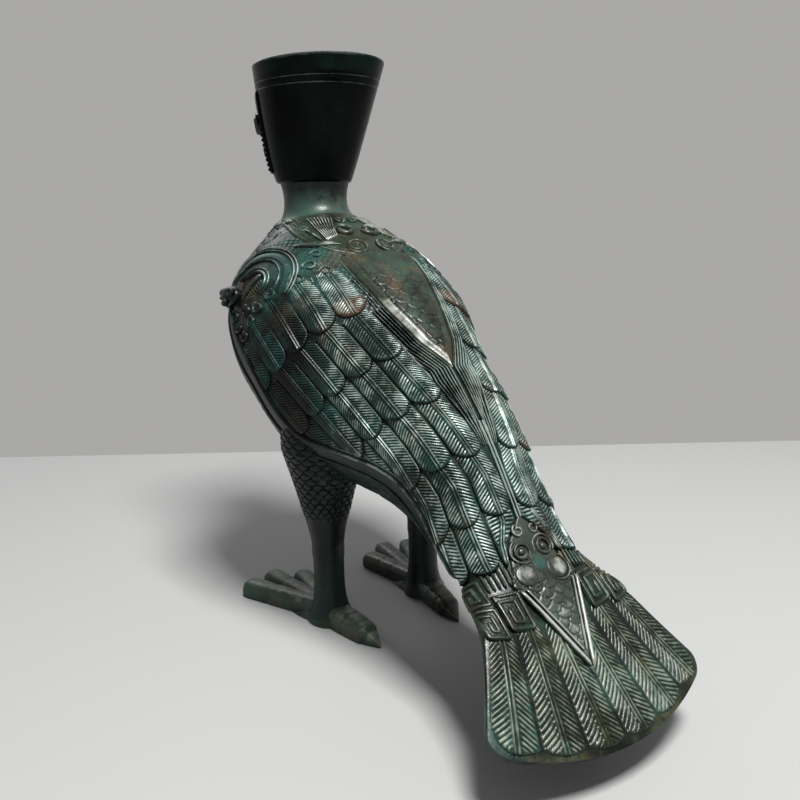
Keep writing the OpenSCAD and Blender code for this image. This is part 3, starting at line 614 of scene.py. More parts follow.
def neck_piece():
    piece = Piece()
    rows, low_r = 60, neck_r + neck_flare

    def rule(k, t):
        v = np.clip(k / rows, 0, 1)
        ground = ground_round_neck(low_r + neck_foot - 2, t) - 0.6
        near = ground_round_neck(low_r, t)
        z = mix(ground, crease_h, v**1.25)
        soft = neck_foot * np.exp(-np.clip(z - ground, 0, None) / neck_foot_fade) * ease((crease_h - z) / 8)
        r = neck_radius(z) + soft
        r = np.where((k == rows + 1) | (k == rows + 2), neck_bore_r, r)
        z = np.where(k == rows + 1, crease_h, z)
        z = np.where(k == rows + 2, np.minimum(near, ground) - neck_spigot_len, z)
        last = k == rows + 3
        z = np.where(last, ground, z)
        r = np.where(last, neck_radius(ground) + neck_foot, r)
        shade = ease((z - neck_shade_low) / neck_shade_len)
        return np.stack([r * np.sin(t), -neck_y + r * np.cos(t), z], -1), 0.48 - 0.32 * shade

    piece.roll(rows + 3, 144, rule)
    piece.done("neck_collar_dressed", neck_bronze, "worn_bronze", ["neck_collar"])


neck_piece()

cup_h = rim_h - crease_h


def cup_skin(v, t, h):
    """The cup's wall at a share v of its height and a turn t from the front."""
    front = mix(-crease_r, cup_lean - rim_len / 2, np.sin(np.pi / 2 * np.clip(v, 0, 1)) ** cup_front_power)
    back = mix(crease_r, cup_lean + rim_len / 2, v)
    half = mix(crease_r, rim_w / 2, np.clip(v, 0, 1) ** cup_side_power)
    x = (half + h) * np.sin(t)
    y = -neck_y + (front + back) / 2 - ((back - front) / 2 + h) * np.cos(t)
    return np.stack([x, y, crease_h + cup_h * v], -1)


def cup_piece():
    piece = Piece()
    lines_down = (7.6, 10.7)
    heights = np.linspace(0, 1, 46).tolist() + [up / cup_h for up in (0.3, 0.6, 0.9)]
    for down in lines_down:
        heights += [(cup_h - down + d) / cup_h for d in (-1.1, -0.7, -0.35, 0, 0.35, 0.7, 1.1)]
    walls = [(v, 0.0) for v in sorted(heights)]
    lip_turns = np.linspace(0.3, 2.84, 8)
    lip = [(1 + 0.7 * math.sin(w) / cup_h, -cup_wall / 2 * (1 - math.cos(w))) for w in lip_turns]
    walls = walls[:-1] + [(0.992, 0.0)] + lip
    floor_v = cup_floor / cup_h
    walls += [(v, -cup_wall) for v in np.linspace(0.99, floor_v, 14)]
    circles = [(mix(14, cup_bore_r, q), crease_h + cup_floor) for q in (0.3, 1.0)]
    circles += [(cup_bore_r, crease_h - cup_spigot_len), (cup_spigot_r, crease_h - cup_spigot_len),
                (cup_spigot_r, crease_h)]
    v_row, h_row = np.array(walls + [(0.0, 0.0)] * (len(circles) + 1)).T
    r_row, z_row = np.array([(0.0, 0.0)] * len(walls) + circles + [(0.0, 0.0)]).T

    def rule(k, t):
        v, h, r = v_row[k], h_row[k], r_row[k]
        down = cup_h * (1 - v)
        outside = h > -0.1
        groove = sum(hump(down - d, 0.35) for d in lines_down) * outside
        edge = sum(hump(down - d - 0.7, 0.3) for d in lines_down) * outside
        foot = rounded(cup_h * v + 0.02, 1.2, 1.0) * outside
        wall = cup_skin(v, t, h + foot + 0.1 * edge - 0.3 * groove)
        ring = np.stack([r * np.sin(t), -neck_y - r * np.cos(t), z_row[k]], -1)
        # Painted highlight: the relief rises in a thin line just below each ring line (edge, which also
        # lifts the wall a little) and on the top of the lip
        relief = 0.42 - 0.3 * groove + 0.45 * edge + 0.45 * hump(v - 1, 0.012)
        return np.where((r > 0)[:, None], ring, wall), relief, -0.55 * ease((9 - down) / 4) * outside

    piece.roll(len(v_row) - 1, 160, rule)
    piece.done("mouth_cup_dressed", cup_bronze, "dark_bronze", ["mouth_cup"], sharp=60)


cup_piece()

# Plan of the yoke, which also trims the wings

def on_plan(y, x):
    return shoulder(x, y)


def yoke_edge(t):
    """Reach of the yoke from the neck's axis, t turning from the back."""
    c = np.cos(t)
    reach = yoke_r + yoke_reach * np.maximum(c, 0) ** yoke_power
    return np.minimum(reach, np.where(c > 0.5, (neck_y + pendant_y) / np.maximum(c, 0.5), reach))


# Wings: a plate at the shoulder with a scroll, then rows of feathers

feather_across = np.array([0, 0.045, 0.085, 0.13, 0.19, 0.3, 0.45, 0.62, 0.78, 0.89, 0.955, 1])
feather_across = np.concatenate([-feather_across[:0:-1], feather_across])
barb_phases = np.array([0, 0.2, 0.5, 0.8])


def feather(piece, base, tip, inner, outer, low, high, round_len=6.0, pitch=1.45, skew=0.75, gap=0.1,
            drop=0.9, barb=0.6, shaft=0.55, arch=0.75, trim=None, stain=0.0):
    """A feather from base to tip between two long edges, ribbed by barbs either side of its shaft."""
    width = (outer(tip) - inner(tip)) / 2
    hidden = round_len + skew * width + 3
    barbs = int((tip - base + hidden) / pitch) + 1
    rows, columns = 4 * barbs, len(feather_across) - 1

    def rule(u, v):
        k = np.rint(u * rows).astype(int)
        phase = barb_phases[k % 4]
        c = feather_across[np.rint(v * columns).astype(int)]
        last = tip - round_len * (1 - np.sqrt(np.clip(1 - c * c, 0, 1)))
        if trim is not None:
            last = last - trim((inner(tip) + outer(tip)) / 2 + c * width)
        a = np.minimum(base - hidden + (k // 4 + phase) * pitch + skew * np.abs(c) * width, last)
        half = (outer(a) - inner(a)) / 2 - gap
        s = (inner(a) + outer(a)) / 2 + c * half
        to_edge = np.minimum((1 - np.abs(c)) * half, last - a)
        to_shaft = np.abs(c) * half
        lift = mix(low, high, np.clip((a - base) / (tip - base), -0.5, 1))
        side = rounded(to_edge, 0.7, drop)
        stem = 0.4 * hump(to_shaft - shaft, 0.5 * shaft) - 0.3 * hump(to_shaft, 0.4 * shaft)
        stem = stem - 0.25 * hump(to_shaft - 2.1 * shaft, 0.5 * shaft)
        ribbed = ease((to_shaft - 1.7 * shaft) / 0.5) * ease((to_edge - 0.55) / 0.4)
        worn = 0.8 + 0.2 * np.sin(0.37 * a + 0.9 * s) * np.sin(0.43 * s - 0.17 * a)
        rib = (np.sin(np.pi * phase) ** 0.5 - 0.7) * barb * ribbed * worn
        h = lift + arch * (1 - c * c) + side + stem + rib
        relief = np.clip(0.56 + 0.6 * side + 0.5 * stem + 1.0 * rib, 0, 1)
        return np.stack([a, s, h], -1), relief, stain * ease((a - mix(base, tip, 0.4)) / 6)

    piece.grid(rows, columns, rule)


root_lift, tip_lift = 0.35, 1.7
column_w, low_column_w, narrow_from, narrow_over = 13.6, 12.4, 97, 102
feather_tips = [99, 125, 150, 176, 200, 219]
first_bases = [77, 74, 71, 74, 77, 80, 82]
# Rust and verdigris on single feathers, by column and tip
stains = {(0, 99): 0.75, (0, 125): 0.4, (3, 99): -0.55, (4, 99): -0.5,
          (2, 150): -0.45, (1, 176): -0.4, (2, 200): -0.4}
# Ridges along the wing's lower edge: distance below it, width, height and wear
edge_ridges = ((0.3, 0.8, 1.5, 0.8), (2.6, 2.8, 2.1, 0.72), (14.0, 1.0, 0.8, 0.5))
# Painted shade on the low flank: outwards of a half width and below a height, the ridges' relief is cut by
# a share
flank_out, flank_top, flank_shade_strength = 37, 168, 0.62


def column_edge(a):
    """Distance of the first column of feathers from the middle of the back."""
    return np.interp(a, [66, 99, 125, 150, 160, 176, 184, 220], [20.5, 19.5, 14, 8.6, 6.2, 3.2, 1.4, 1.4])


def column_inner(k):
    """Inner edge of a column of feathers, as a distance below the wing's lower edge."""
    def inner(a):
        width = mix(column_w, low_column_w, (a - narrow_from) / narrow_over)
        return np.maximum(column_edge(a) + k * width, mask_edge(a) + 0.7) - border(a)

    return inner


def wing_piece():
    piece = Piece()
    shoulder_plate(piece)
    for k in range(7):
        inner, outer = column_inner(k), column_inner(k + 1)
        base = first_bases[k]
        for tip in feather_tips:
            if inner(np.float64(base)) < -1.5 and tip - base > 4:
                stain = stains.get((k, tip), 0)
                feather(piece, base, tip, inner, outer, root_lift, tip_lift, barb=0.7, stain=stain)
            base = tip + 0.4
    piece.weld(0.02)
    bmesh.ops.bisect_plane(piece.bm, geom=piece.bm.verts[:] + piece.bm.edges[:] + piece.bm.faces[:],
                           plane_co=(0, -0.4, 0), plane_no=(0, 1, 0), clear_outer=True)
    piece.set_down(wing_sheet, 0.5)
    along = np.linspace(36, 214, 170)
    for below, width, height, worn in edge_ridges:
        piece.bead(wing_sheet, path_of(along, below), width, height, relief=worn)
    spine(piece)
    scroll(piece)
    paint_flank_shade(piece)
    return piece


def paint_flank_shade(piece):
    """Painted shade: the ridges low on the flank keep less relief, and so less worn colour, than those on
    the back.
    """
    verts = piece.bm.verts[:]
    place_mm = np.array([v.co[:] for v in verts])
    # painted shade: the relief is scaled down outwards of flank_out and below flank_top
    painted_shade = ease((place_mm[:, 0] - flank_out) / 11) * ease((flank_top - place_mm[:, 2]) / 15)
    for v, kept in zip(verts, (1 - flank_shade_strength * painted_shade).tolist()):
        v[piece.relief] *= kept


def pendant_edge(a):
    """Half width of the pendant at a length along the back, drawn in to a point."""
    return np.interp(a, [58, 80, 101, 122, pendant_point], [18.8, 17, 13.2, 7.5, 0])


def spine(piece):
    """Fine ridges that draw together beside the pendant and go on as one down the back."""
    count, meeting, pitch = 7, 174, 1.45
    a = np.linspace(64, meeting, 150)
    near = np.maximum(pendant_edge(a) + 1.3, 0.8)
    far = column_edge(a) - 0.4
    spacing = np.where(a < pendant_point - 2.5, pitch, np.minimum(pitch, (far - near) / (count - 1)))
    for k in range(count):
        s = near + k * spacing
        last = meeting if k % 2 == 0 else meeting - 5 - 3 * k
        kept = (s < far + 0.3) & (a < last)
        piece.bead(over_skin, path_of(a, s)[kept], 0.62, 1.5, taper=10, relief=0.84)
    a = np.linspace(meeting - 12, mask_start + 1, 50)
    piece.bead(over_skin, path_of(a, 0.75), 0.9, 1.5, relief=0.95)


mask_start = body_len - mask_up
mask_end = body_len + mask_down


def mask_edge(a):
    """Half width of the mask: a narrow brow, stepped cheeks and a long snout."""
    along = [mask_start + d for d in (0, 8, 18, 25, 27)] + [mask_end]
    return np.interp(a, along, [0.5, 8.0, 11.5, 15, 14, 0.3], left=-9)


plate_end = 100
plate_a = np.linspace(wing_front, plate_end, 50)


def plate_line():
    """Where the shoulder plate goes under the yoke and the pendant."""
    a, s = np.meshgrid(plate_a, distances[distances < 70], indexing="ij")
    p = over_skin(a, s)
    to_neck = np.hypot(p[..., 0], p[..., 1] + neck_y)
    turn = np.arctan2(p[..., 0], p[..., 1] + neck_y)
    covered = (to_neck < yoke_edge(turn) - 1.5) | (s < pendant_edge(a) - 1.5)
    return (covered * s).max(axis=1)


plate_top = plate_line()


def shoulder_plate(piece):
    """The plate at the front of the wing, sunk inside the scroll's arch and finely scaled above it."""
    def rule(u, v):
        front = wing_front + wing_round * (2 * u - 1) ** 2
        a = mix(front, plate_end, v)
        s = mix(border(a), np.interp(a, plate_a, plate_top), u)
        to_scroll = np.hypot(a - scroll_a, s - scroll_s)
        sunk = ease((7.4 - to_scroll) / 0.8)
        lined = ease((to_scroll - 24) / 1.5)
        grooves = scale_grooves(s, a, 3.4, 0.2) * lined
        h = 0.7 + rounded(a - front, 1.2, 0.9) - 0.6 * sunk - 0.35 * grooves
        relief = np.clip(0.22 + 0.22 * lined - 0.25 * grooves - 0.22 * sunk, 0, 1)
        return np.stack([a, s - border(a), h], -1), relief

    piece.grid(150, 150, rule)


scroll_a, scroll_turn = 52, 26
scroll_s = float(distance_at(np.array([scroll_a]), scroll_turn)[0])


def scroll(piece):
    """The wing's curled shoulder: an arch with a hatched tongue, plain bands and thin lines round it."""
    centre = np.array([scroll_a, scroll_s])

    def arch(r, start, end):
        ring = curl((0, 0), r, r, start, end - start, 90)
        head = ring[0] + np.outer(np.linspace(1, 0, 20)[:-1], [-0.15 * r, 0.55 * r])
        return np.concatenate([head, ring]) + centre

    piece.bead(over_skin, arch(7.6, 180, 372), 1.3, 1.8)
    piece.bead(over_skin, arch(9.4, 180, 366), 0.8, 1.5)
    piece.bead(over_skin, arch(14.9, 175, 345), 1.0, 1.9)
    piece.bead(over_skin, arch(18.2, 170, 338), 4.4, 1.2, sides=12, relief=0.5, flat=0.35, stain=-0.5)
    for r in (21.4, 23.0):
        piece.bead(over_skin, arch(r, 165, 334), 0.8, 1.7, relief=0.85)
    piece.bead(over_skin, line(centre + (-1.5, -6.5), centre + (-0.5, 2), centre + (2.5, 10)), 1.5, 1.7)
    for k in range(9):
        start = centre + (0.6 + 0.25 * k, -4.5 + 1.5 * k)
        piece.bead(over_skin, line(start, start + (5.0, 0.5), spacing=1.2), 0.8, 0.9, sides=6)
    # Small curls round it: their place from the scroll's middle, radius and sweep
    curls = ((14, -3.5, 3.4, 400), (15, 4, 3.6, -400), (10, 11.5, 3.6, 400), (17.5, 12, 3.2, 380),
             (5, 20, 4.0, 400), (13, 20, 3.4, -400), (-6, 15, 4.0, 400), (-13, 21, 3.4, -380),
             (20, 20, 3.0, 380))
    for da, ds, r, sweep in curls:
        piece.bead(over_skin, curl(centre + (da, ds), r, 0.9, 200, sweep, 44), 1.7, 1.9)
    hooks = ((63, 31.5, 3.6), (68, 39.5, 3.8), (70, 27, 3.4), (57, 26, 2.8))
    for a, s, r in hooks:
        piece.bead(over_skin, curl((a, s), r, 0.9, 90, 400, 40), 1.8, 1.6, relief=0.55, stain=0.15)
    for k in range(9):
        start = np.array([69.5 - 0.1 * k, 24.5 + 2.4 * k])
        piece.bead(over_skin, line(start, start + (5.5, 0.6), spacing=1.2), 0.9, 1.3, sides=6, relief=0.7)


wing = wing_piece()
pair(wing, "wing", wing_bronze, "green_bronze", sharp=65)

# Yoke, pendant and tail mask on the back

def yoke_piece():
    piece = Piece()
    turns_round, rings = 420, 56
    inner_r = neck_r + neck_flare + 2

    def rule(u, v):
        t = 2 * np.pi * u
        r = mix(inner_r, yoke_edge(t), v)
        side = rounded(yoke_edge(t) - r, 1.6, 0.9)
        out = np.abs(r * np.sin(t))
        ground = ease((yoke_edge(t) - r - 4.2) / 0.8) * ease((out - 17) / 2)
        grooves = scale_grooves(np.abs(np.mod(t + np.pi, 2 * np.pi) - np.pi) * 24, -r, 3.4, 0.22) * ground
        h = 0.8 + side - 0.4 * grooves
        relief = np.clip(0.4 + side * 0.3 + 0.15 * ground - 0.45 * grooves, 0, 1)
        return np.stack([-neck_y + r * np.cos(t), r * np.sin(t), h], -1), relief

    piece.grid(turns_round, rings, rule)
    piece.set_down(on_plan, 0.8)
    t = np.linspace(0, 2 * np.pi, 240)
    for inset, width, height in ((1.4, 1.2, 1.2), (3.4, 0.8, 1.05)):
        r = yoke_edge(t) - inset
        rim = path_of(-neck_y + r * np.cos(t), r * np.sin(t))
        piece.bead(on_plan, rim, width, height, taper=0, relief=0.6)
    for side in (1, -1):
        yoke_plume(piece, side)
        piece.bead(over_skin, line((36, side * 21.5), (49, side * 19.5)), 1.3, 1.0, level=0.8)
        tongue = line((45, side * 32), (51, side * 22.5), (55, side * 12))
        piece.bead(over_skin, tongue, 3.6, 1.1, level=0.8, sides=12, taper=2.5, relief=0.6, flat=0.5)
        thick_curl = curl((44.5, side * 6.6), 4.8, 1.4, 90, side * 460, 50)
        piece.bead(over_skin, thick_curl, 2.7, 1.7, level=0.7, sides=10, relief=0.6)
        small_curl = curl((34, side * 3.6), 2.6, 1.0, 0, -side * 420, 36)
        piece.bead(over_skin, small_curl, 1.6, 1.2, level=0.7, relief=0.6)
        disc = (-neck_y + 54.5, side * 7.5)
        lump(piece, on_plan, disc, (4.6, 4.6), 0.9, level=0.7, relief=0.45, fine=28, flat=0.35)
        piece.bead(on_plan, curl(disc, 5.0, 1.2, 0, -side * 560, 70), 1.3, 1.0, level=1.1, relief=0.62)
        for back, out in ((12, 20.2), (0, 20.6), (-12, 17.4)):
            piece.bead(on_plan, curl((-neck_y + back, side * out), 2.5, 1.0, 200, side * 430, 40), 1.2, 1.7)
    piece.done("shoulder_yoke_dressed", back_bronze, "worn_bronze", ["shoulder_yoke"], sharp=60)


def yoke_plume(piece, side):
    """A fan of fine strokes that opens towards the neck."""
    count = 8
    for k in range(count):
        f = k / (count - 1)
        root = (50.5 - 1.5 * f, side * mix(17.5, 12.2, f))
        bend = (mix(37, 40, f), side * mix(17.0, 9.8, f))
        tip = (mix(26, 30.5, f), side * mix(15.5, 6.0, f))
        stroke = line(root, bend, tip, spacing=1.0)
        piece.bead(over_skin, stroke, 0.9, 1.3, level=0.6, sides=6, relief=0.76, stain=0.4)


yoke_piece()

back_y = skin(stations, np.full_like(stations, 90.0))[:, 1]
pendant_top = float(np.interp(pendant_y, back_y, stations)) - 3


def pendant_piece():
    piece = Piece()

    def rule(u, v):
        a = mix(pendant_top, pendant_point, u)
        half = np.maximum(pendant_edge(a), 0.3)
        s = half * (2 * v - 1)
        to_edge = half - np.abs(s)
        scales = ease((to_edge - 3.6) / 0.8) * ease((a - pendant_top - 12) / 4)
        grooves = scale_grooves(s, a, 8.4, 0.13) * scales
        bevel = 0.9 * ease(to_edge / 3.2) - 0.5 * hump(to_edge - 4.0, 0.5)
        h = 1.0 + bevel - 0.25 * grooves + rounded(to_edge, 0.6, 0.6)
        # Painted highlight: the bevel low on the pendant gets more relief, fully on the left and 0.3 as
        # much on the right, for the light it catches
        painted_bevel_highlight = ease((4.0 - to_edge) / 0.8) * ease((a - 88) / 10) * np.where(s > 0, 1, 0.3)
        rusty = 0.55 * hump(a - 90, 12) * hump(s - 5, 7) * (1 - painted_bevel_highlight)
        return np.stack([a, s, h], -1), np.clip(0.36 - 0.32 * grooves + 0.42 * painted_bevel_highlight, 0, 1), rusty

    piece.grid(190, 96, rule)
    piece.set_down(over_skin, 0.6)
    a = np.linspace(pendant_top + 4, pendant_point, 80)
    for side in (1, -1):
        edge = path_of(a, side * (pendant_edge(a) + 0.4))
        piece.bead(over_skin, edge, 0.9, 1.5, taper=0.5, relief=0.55)
    piece.done("back_pendant_dressed", back_bronze, "green_bronze", ["back_pendant"], sharp=60)


pendant_piece()


def mask_piece():
    piece = Piece()

    def rule(u, v):
        a = mix(mask_start, mask_end, u)
        half = np.maximum(mask_edge(a), 0.3)
        s = half * (2 * v - 1)
        to_edge = np.minimum(half - np.abs(s), a - mask_start + 0.3)
        snout = ease((a - mask_start - 24) / 3) * ease((half - np.abs(s) - 3.2) / 0.6)
        grooves = scale_grooves(s, a, 6.0, 0.12) * snout
        ridge = 0.8 * hump(s, 5.5) * ease((a - mask_start) / 8) * ease((mask_end - a) / 20)
        h = 0.9 + ridge + rounded(to_edge, 0.9, 0.8) - 0.35 * grooves
        brow = -0.8 * hump(a - mask_start - 18, 4) * hump(s, 3)
        worn = 0.4 + 0.2 * hump(s, 5) * ease((a - mask_start - 22) / 8) - 0.45 * grooves
        return np.stack([a, s, h], -1), np.clip(worn, 0, 1), brow

    piece.grid(160, 64, rule)
    piece.set_down(over_skin, 0.6)
    for side in (1, -1):
        eye = (mask_start + 13, side * 5)
        ring_eye(piece, over_skin, eye, 3.0, 1.4, 1.0, 1.1)
        piece.bead(over_skin, curl(eye, 4.7, 4.7, -60, side * 230, 40), 1.1, 1.0, level=1.0)
        brow_curl = curl((mask_start + 5.2, side * 3.4), 2.5, 0.8, 180, -side * 430, 40)
        piece.bead(over_skin, brow_curl, 1.2, 1.0, level=1.1)
        lobe = (mask_start + 22, side * 7)
        lump(piece, over_skin, lobe, (4.4, 4.8), 1.0, level=0.8, relief=0.74, fine=28, flat=0.35)
        piece.bead(over_skin, curl(lobe, 5.3, 5.3, 100, side * 250, 40), 0.9, 1.0, level=0.9)
        cheek = [(mask_start + p, side * q) for p, q in ((22.5, 12.5), (25, 13.5), (26.5, 11.5))]
        piece.bead(over_skin, line(*cheek, spacing=0.4), 2.6, 0.8, level=0.9, sides=12, relief=0.5,
                   flat=0.4)
        for inset, width in ((0.9, 1.8), (3.0, 0.9)):
            a = np.linspace(mask_start + 27, mask_end - 2.6 * inset, 60)
            s = np.maximum(mask_edge(a) - inset, 0.05)
            piece.bead(over_skin, path_of(a, side * s), width, 1.5, level=0.9, sides=10, relief=0.84)
    piece.done("tail_mask_dressed", mask_bronze, "worn_bronze", ["tail_mask"], sharp=60)


mask_piece()

# Tail and its covert panels

tail_end = body_len + tail_len
side_line = distance_at(stations, 0)


def tail_side(a):
    """Distance of the tail's edge from its middle."""
    return np.interp(a, stations, side_line)


def tail_line(share):
    return lambda a: share * (tail_side(a) - 1.1)


corner_r, tail_half, tail_inset = 8.0, tail_w / 2, 1.6


def corner_cut(share):
    """How far the tail's end is rounded off towards its corners."""
    out = np.clip((np.abs(share) * tail_half - (tail_half - corner_r)) / corner_r, 0, 1)
    return corner_r * (1 - np.sqrt(np.clip(1 - out**2, 0, 1)))


def tail_trim(s):
    """The rounding of the tail's corners on its feathers."""
    return corner_cut((np.abs(s) + tail_inset) / tail_half)


def tail_piece():
    piece = Piece()
    for side in (1, -1):
        for k in range(3):
            inner, outer = tail_line(k / 3), tail_line((k + 1) / 3)
            if side < 0:
                inner, outer = tail_line(-(k + 1) / 3), tail_line(-k / 3)
            feather(piece, 250, tail_end - tail_inset, inner, outer, -0.25, 0.3, round_len=2.5, pitch=2.1,
                    skew=0.85, gap=0.15, drop=0.7, barb=0.7, shaft=0.7, arch=0.6, trim=tail_trim,
                    stain=-0.45 * (side * k == 2))
    piece.set_down(over_skin, 0.5)
    rings, steps = 80, 160

    def plate(k, t):
        a = np.clip(mix(body_len - 6, tail_end, (k - 1) / (rings - 3)), body_len - 6, tail_end)
        c = np.cos(t)
        late = np.clip((a - tail_end + 26) / 26, 0, 1) ** 1.5
        at = a - late * corner_cut(c)
        half, _, _, level, _, droop, bow = section(at)
        points = skin(at, np.degrees(t))
        flat = place(half * c, at - bow * c * c, level - droop * c * c)
        start = place(0 * a, a, section(a)[3])
        thin = np.where(k == rings, 1.0, np.where(k == rings - 1, 0.4, 0.0))[:, None]
        points = np.where((k == 0)[:, None], start, mix(points, flat, thin))
        return points, 0.22, 0.5 * ease((a - tail_end + 8) / 6) - 0.7 * ease((points[:, 0] - 38) / 8)

    piece.roll(rings, steps, plate)
    piece.done("tail_fan_dressed", tail_bronze, "green_bronze", ["tail_fan"], sharp=60)


tail_piece()


def square_spiral(a0, a1, s0, s1, step, rounds):
    """Corners of a square spiral from the outside of a panel inwards."""
    corners = [(a0, s1)]
    for k in range(rounds):
        d = k * step
        corners += [(a0 + d, s0 + d), (a1 - d, s0 + d), (a1 - d, s1 - d), (a0 + d + step, s1 - d)]
    return corners


def panel(piece, a0, a1, s0, s1):
    """A raised tongue with a rounded lower end."""
    def rule(u, v):
        c = 2 * v - 1
        last = a1 - 3.0 * np.clip((np.abs(c) - 0.3) / 0.7, 0, 1) ** 2.5
        a, s = mix(a0, last, u), mix(s0, s1, v)
        to_edge = np.minimum(np.minimum(a - a0, last - a), np.minimum(s - s0, s1 - s))
        return np.stack([a, s, 1.0 + rounded(to_edge, 0.8, 0.8)], -1), np.full(len(u), 0.2)

    piece.grid(40, 28, rule)


def coverts_piece():
    piece = Piece()
    outer = (body_len + 3, body_len + 31, 24.2, 33.6)
    inner = (body_len + 12, body_len + 28, 13, 24)
    for a0, a1, s0, s1 in (outer, inner):
        panel(piece, a0, a1, s0, s1)
    piece.set_down(over_skin, 0.6, gap=0.005)
    middle = (outer[0] + outer[1]) / 2
    for a0, a1, s0, s1 in ((outer[0], middle, *outer[2:]), (middle, outer[1], *outer[2:]), inner):
        path = line(*square_spiral(a0 + 1.2, a1 - 1.4, s0 + 1.3, s1 - 1.3, 2.4, 2), spacing=0.5)
        piece.bead(over_skin, path, 1.75, 0.55, level=1.0, sides=10, relief=0.62)
    for k in range(6):
        s = 12.5 + 2.1 * k
        piece.bead(over_skin, line((body_len - 2, s), (body_len + 11, s), spacing=1.5), 1.3, 1.1)
    return piece


pair(coverts_piece(), "tail_coverts", tail_bronze, "green_bronze")

# Legs

def thigh_radius(z):
    return mix(shank_r, thigh_r, np.clip((z - knee_h) / thigh_rise, 0, 1) ** thigh_power)


def thigh_piece():
    piece = Piece()
    rows, steps = 150, 168
    low, top, scales_from = knee_h - 6, 112, 50
    scale, around = 5.0, 18

    def rule(k, t):
        z = mix(low, top, ring_share(k, rows))
        scaled = ease((z - scales_from) / 8)
        grooves = scale_grooves(t / (2 * np.pi) * around * scale, -z, scale) * scaled
        r = (thigh_radius(z) + 0.4 * scaled - 0.9 * grooves) * open_ring(k, rows)
        points = np.stack([leg_x + r * np.cos(t), r * np.sin(t), z], -1)
        return points, np.clip(0.45 - 0.5 * grooves + 0.18 * scaled, 0, 1)

    piece.roll(rows, steps, rule)
    return piece


pair(thigh_piece(), "thigh", body_bronze, "bronze")


def shank_piece():
    piece = Piece()
    rows, steps, low = 60, 80, 4

    def rule(k, t):
        z = mix(low, knee_h + 2, ring_share(k, rows))
        share = np.clip((z - low) / (knee_h - low), 0, 1)
        r = shank_r - shank_waist * np.sin(np.pi * share) + 3.2 * np.exp(-(z - low) / 5.0)
        r = r * open_ring(k, rows)
        return np.stack([leg_x + r * np.cos(t), r * np.sin(t), z], -1), np.full(len(t), 0.42)

    piece.roll(rows, steps, rule)
    return piece


pair(shank_piece(), "shank", body_bronze, "dark_bronze")

blunt_toe = np.array([[0, 0.95, 1], [0.35, 0.88, 0.92], [0.7, 0.95, 0.9], [0.9, 1, 0.88], [1, 0.92, 0.8]])
clawed_toe = np.array([[0, 1, 1], [0.4, 1, 0.95], [0.7, 0.88, 0.85], [0.82, 0.72, 0.75], [1, 0.1, 0.2]])


def toe(piece, heading, length, steps_along, width=1.0, claw=0):
    """One toe from the ankle outwards: ridged on top, straight-sided, flat below, closed at both ends."""
    rows, steps = 60, 36
    share = np.linspace(0, 1, 200)
    smooth = np.hanning(25) / np.hanning(25).sum()

    def softened(column):
        values = np.interp(share, steps_along[:, 0], steps_along[:, column])
        return np.convolve(np.pad(values, 12, "edge"), smooth, "valid")

    wide, tall = softened(1), softened(2)
    turn = math.radians(heading + foot_turn)
    out = np.array([math.sin(turn), -math.cos(turn)])
    across = np.array([math.cos(turn), math.sin(turn)])

    def rule(k, t):
        l = ring_share(k, rows)
        nose = np.sqrt(np.clip(1 - np.clip((l - 0.94) / 0.06, 0, 1) ** 3, 0.2, 1))
        opened = open_ring(k, rows)
        nail = 0.14 * claw * (hump(l - 0.8, 0.015) + 0.7 * ease((l - 0.8) / 0.02))
        knuckle = 0.03 * (hump(l - 0.45, 0.03) + hump(l - 0.66, 0.03))
        slim = nose * (1 - nail - knuckle)
        w = width * toe_w / 2 * np.interp(l, share, wide) * slim * opened
        h = toe_h * np.interp(l, share, tall) * slim
        c, s = np.cos(t), np.sin(t)
        side = np.sign(c) * np.abs(c) ** 0.6
        lift = np.where(s > 0, np.abs(s) ** 0.75 * 0.62, -np.abs(s) ** 0.35 * 0.38) + 0.38
        z = h * mix(0.38, lift, opened)
        plan = out[None] * (l * length)[:, None] + across[None] * (w * side)[:, None]
        worn = 0.3 + 0.3 * lift - 2 * (nail + knuckle) + 0.3 * claw * ease((l - 0.83) / 0.03)
        return np.stack([leg_x + plan[:, 0], plan[:, 1], z], -1), np.clip(worn, 0, 1)

    piece.roll(rows, steps, rule)


def foot_piece():
    piece = Piece()
    toe(piece, toe_spread, toe_len, blunt_toe)
    toe(piece, 0, toe_len, blunt_toe)
    toe(piece, -toe_spread, inner_toe_len, blunt_toe)
    toe(piece, 180, hind_toe_len, clawed_toe, width=1.25, claw=1)
    rows, steps = 40, 72

    def rule(k, t):
        z = mix(0, ankle_h + 3, ring_share(k, rows))
        r = ankle_r + 0.8 - 3.2 * ease(z / (ankle_h + 3))
        web = np.clip(-np.sin(t), 0, 1) ** 5 * 20 * np.clip(1 - z / 5.5, 0, 1) ** 0.7
        r = (r + web) * open_ring(k, rows)
        turn = t + math.radians(foot_turn)
        return np.stack([leg_x + r * np.cos(turn), r * np.sin(turn), z], -1), np.full(len(t), 0.42)

    piece.roll(rows, steps, rule)
    return piece


pair(foot_piece(), "foot", foot_bronze_painted_light, "worn_bronze")

# Face on the front of the cup

face_low, face_h, face_spread = 5, 31, 76
face_top = face_low + face_h + 7
eye_turn, eye_h, eye_r = 57, 28.5, 4.4
beak_len, beak_w, beak_out = 15, 8, 7
face_arm = 27.0


def on_cup(up, round_):
    """The cup's wall at a height above the crease and a distance round from the front."""
    return cup_skin(up / cup_h, round_ / face_arm, 0 * up)


face_half = math.radians(face_spread) * face_arm
eye_round = math.radians(eye_turn) * face_arm


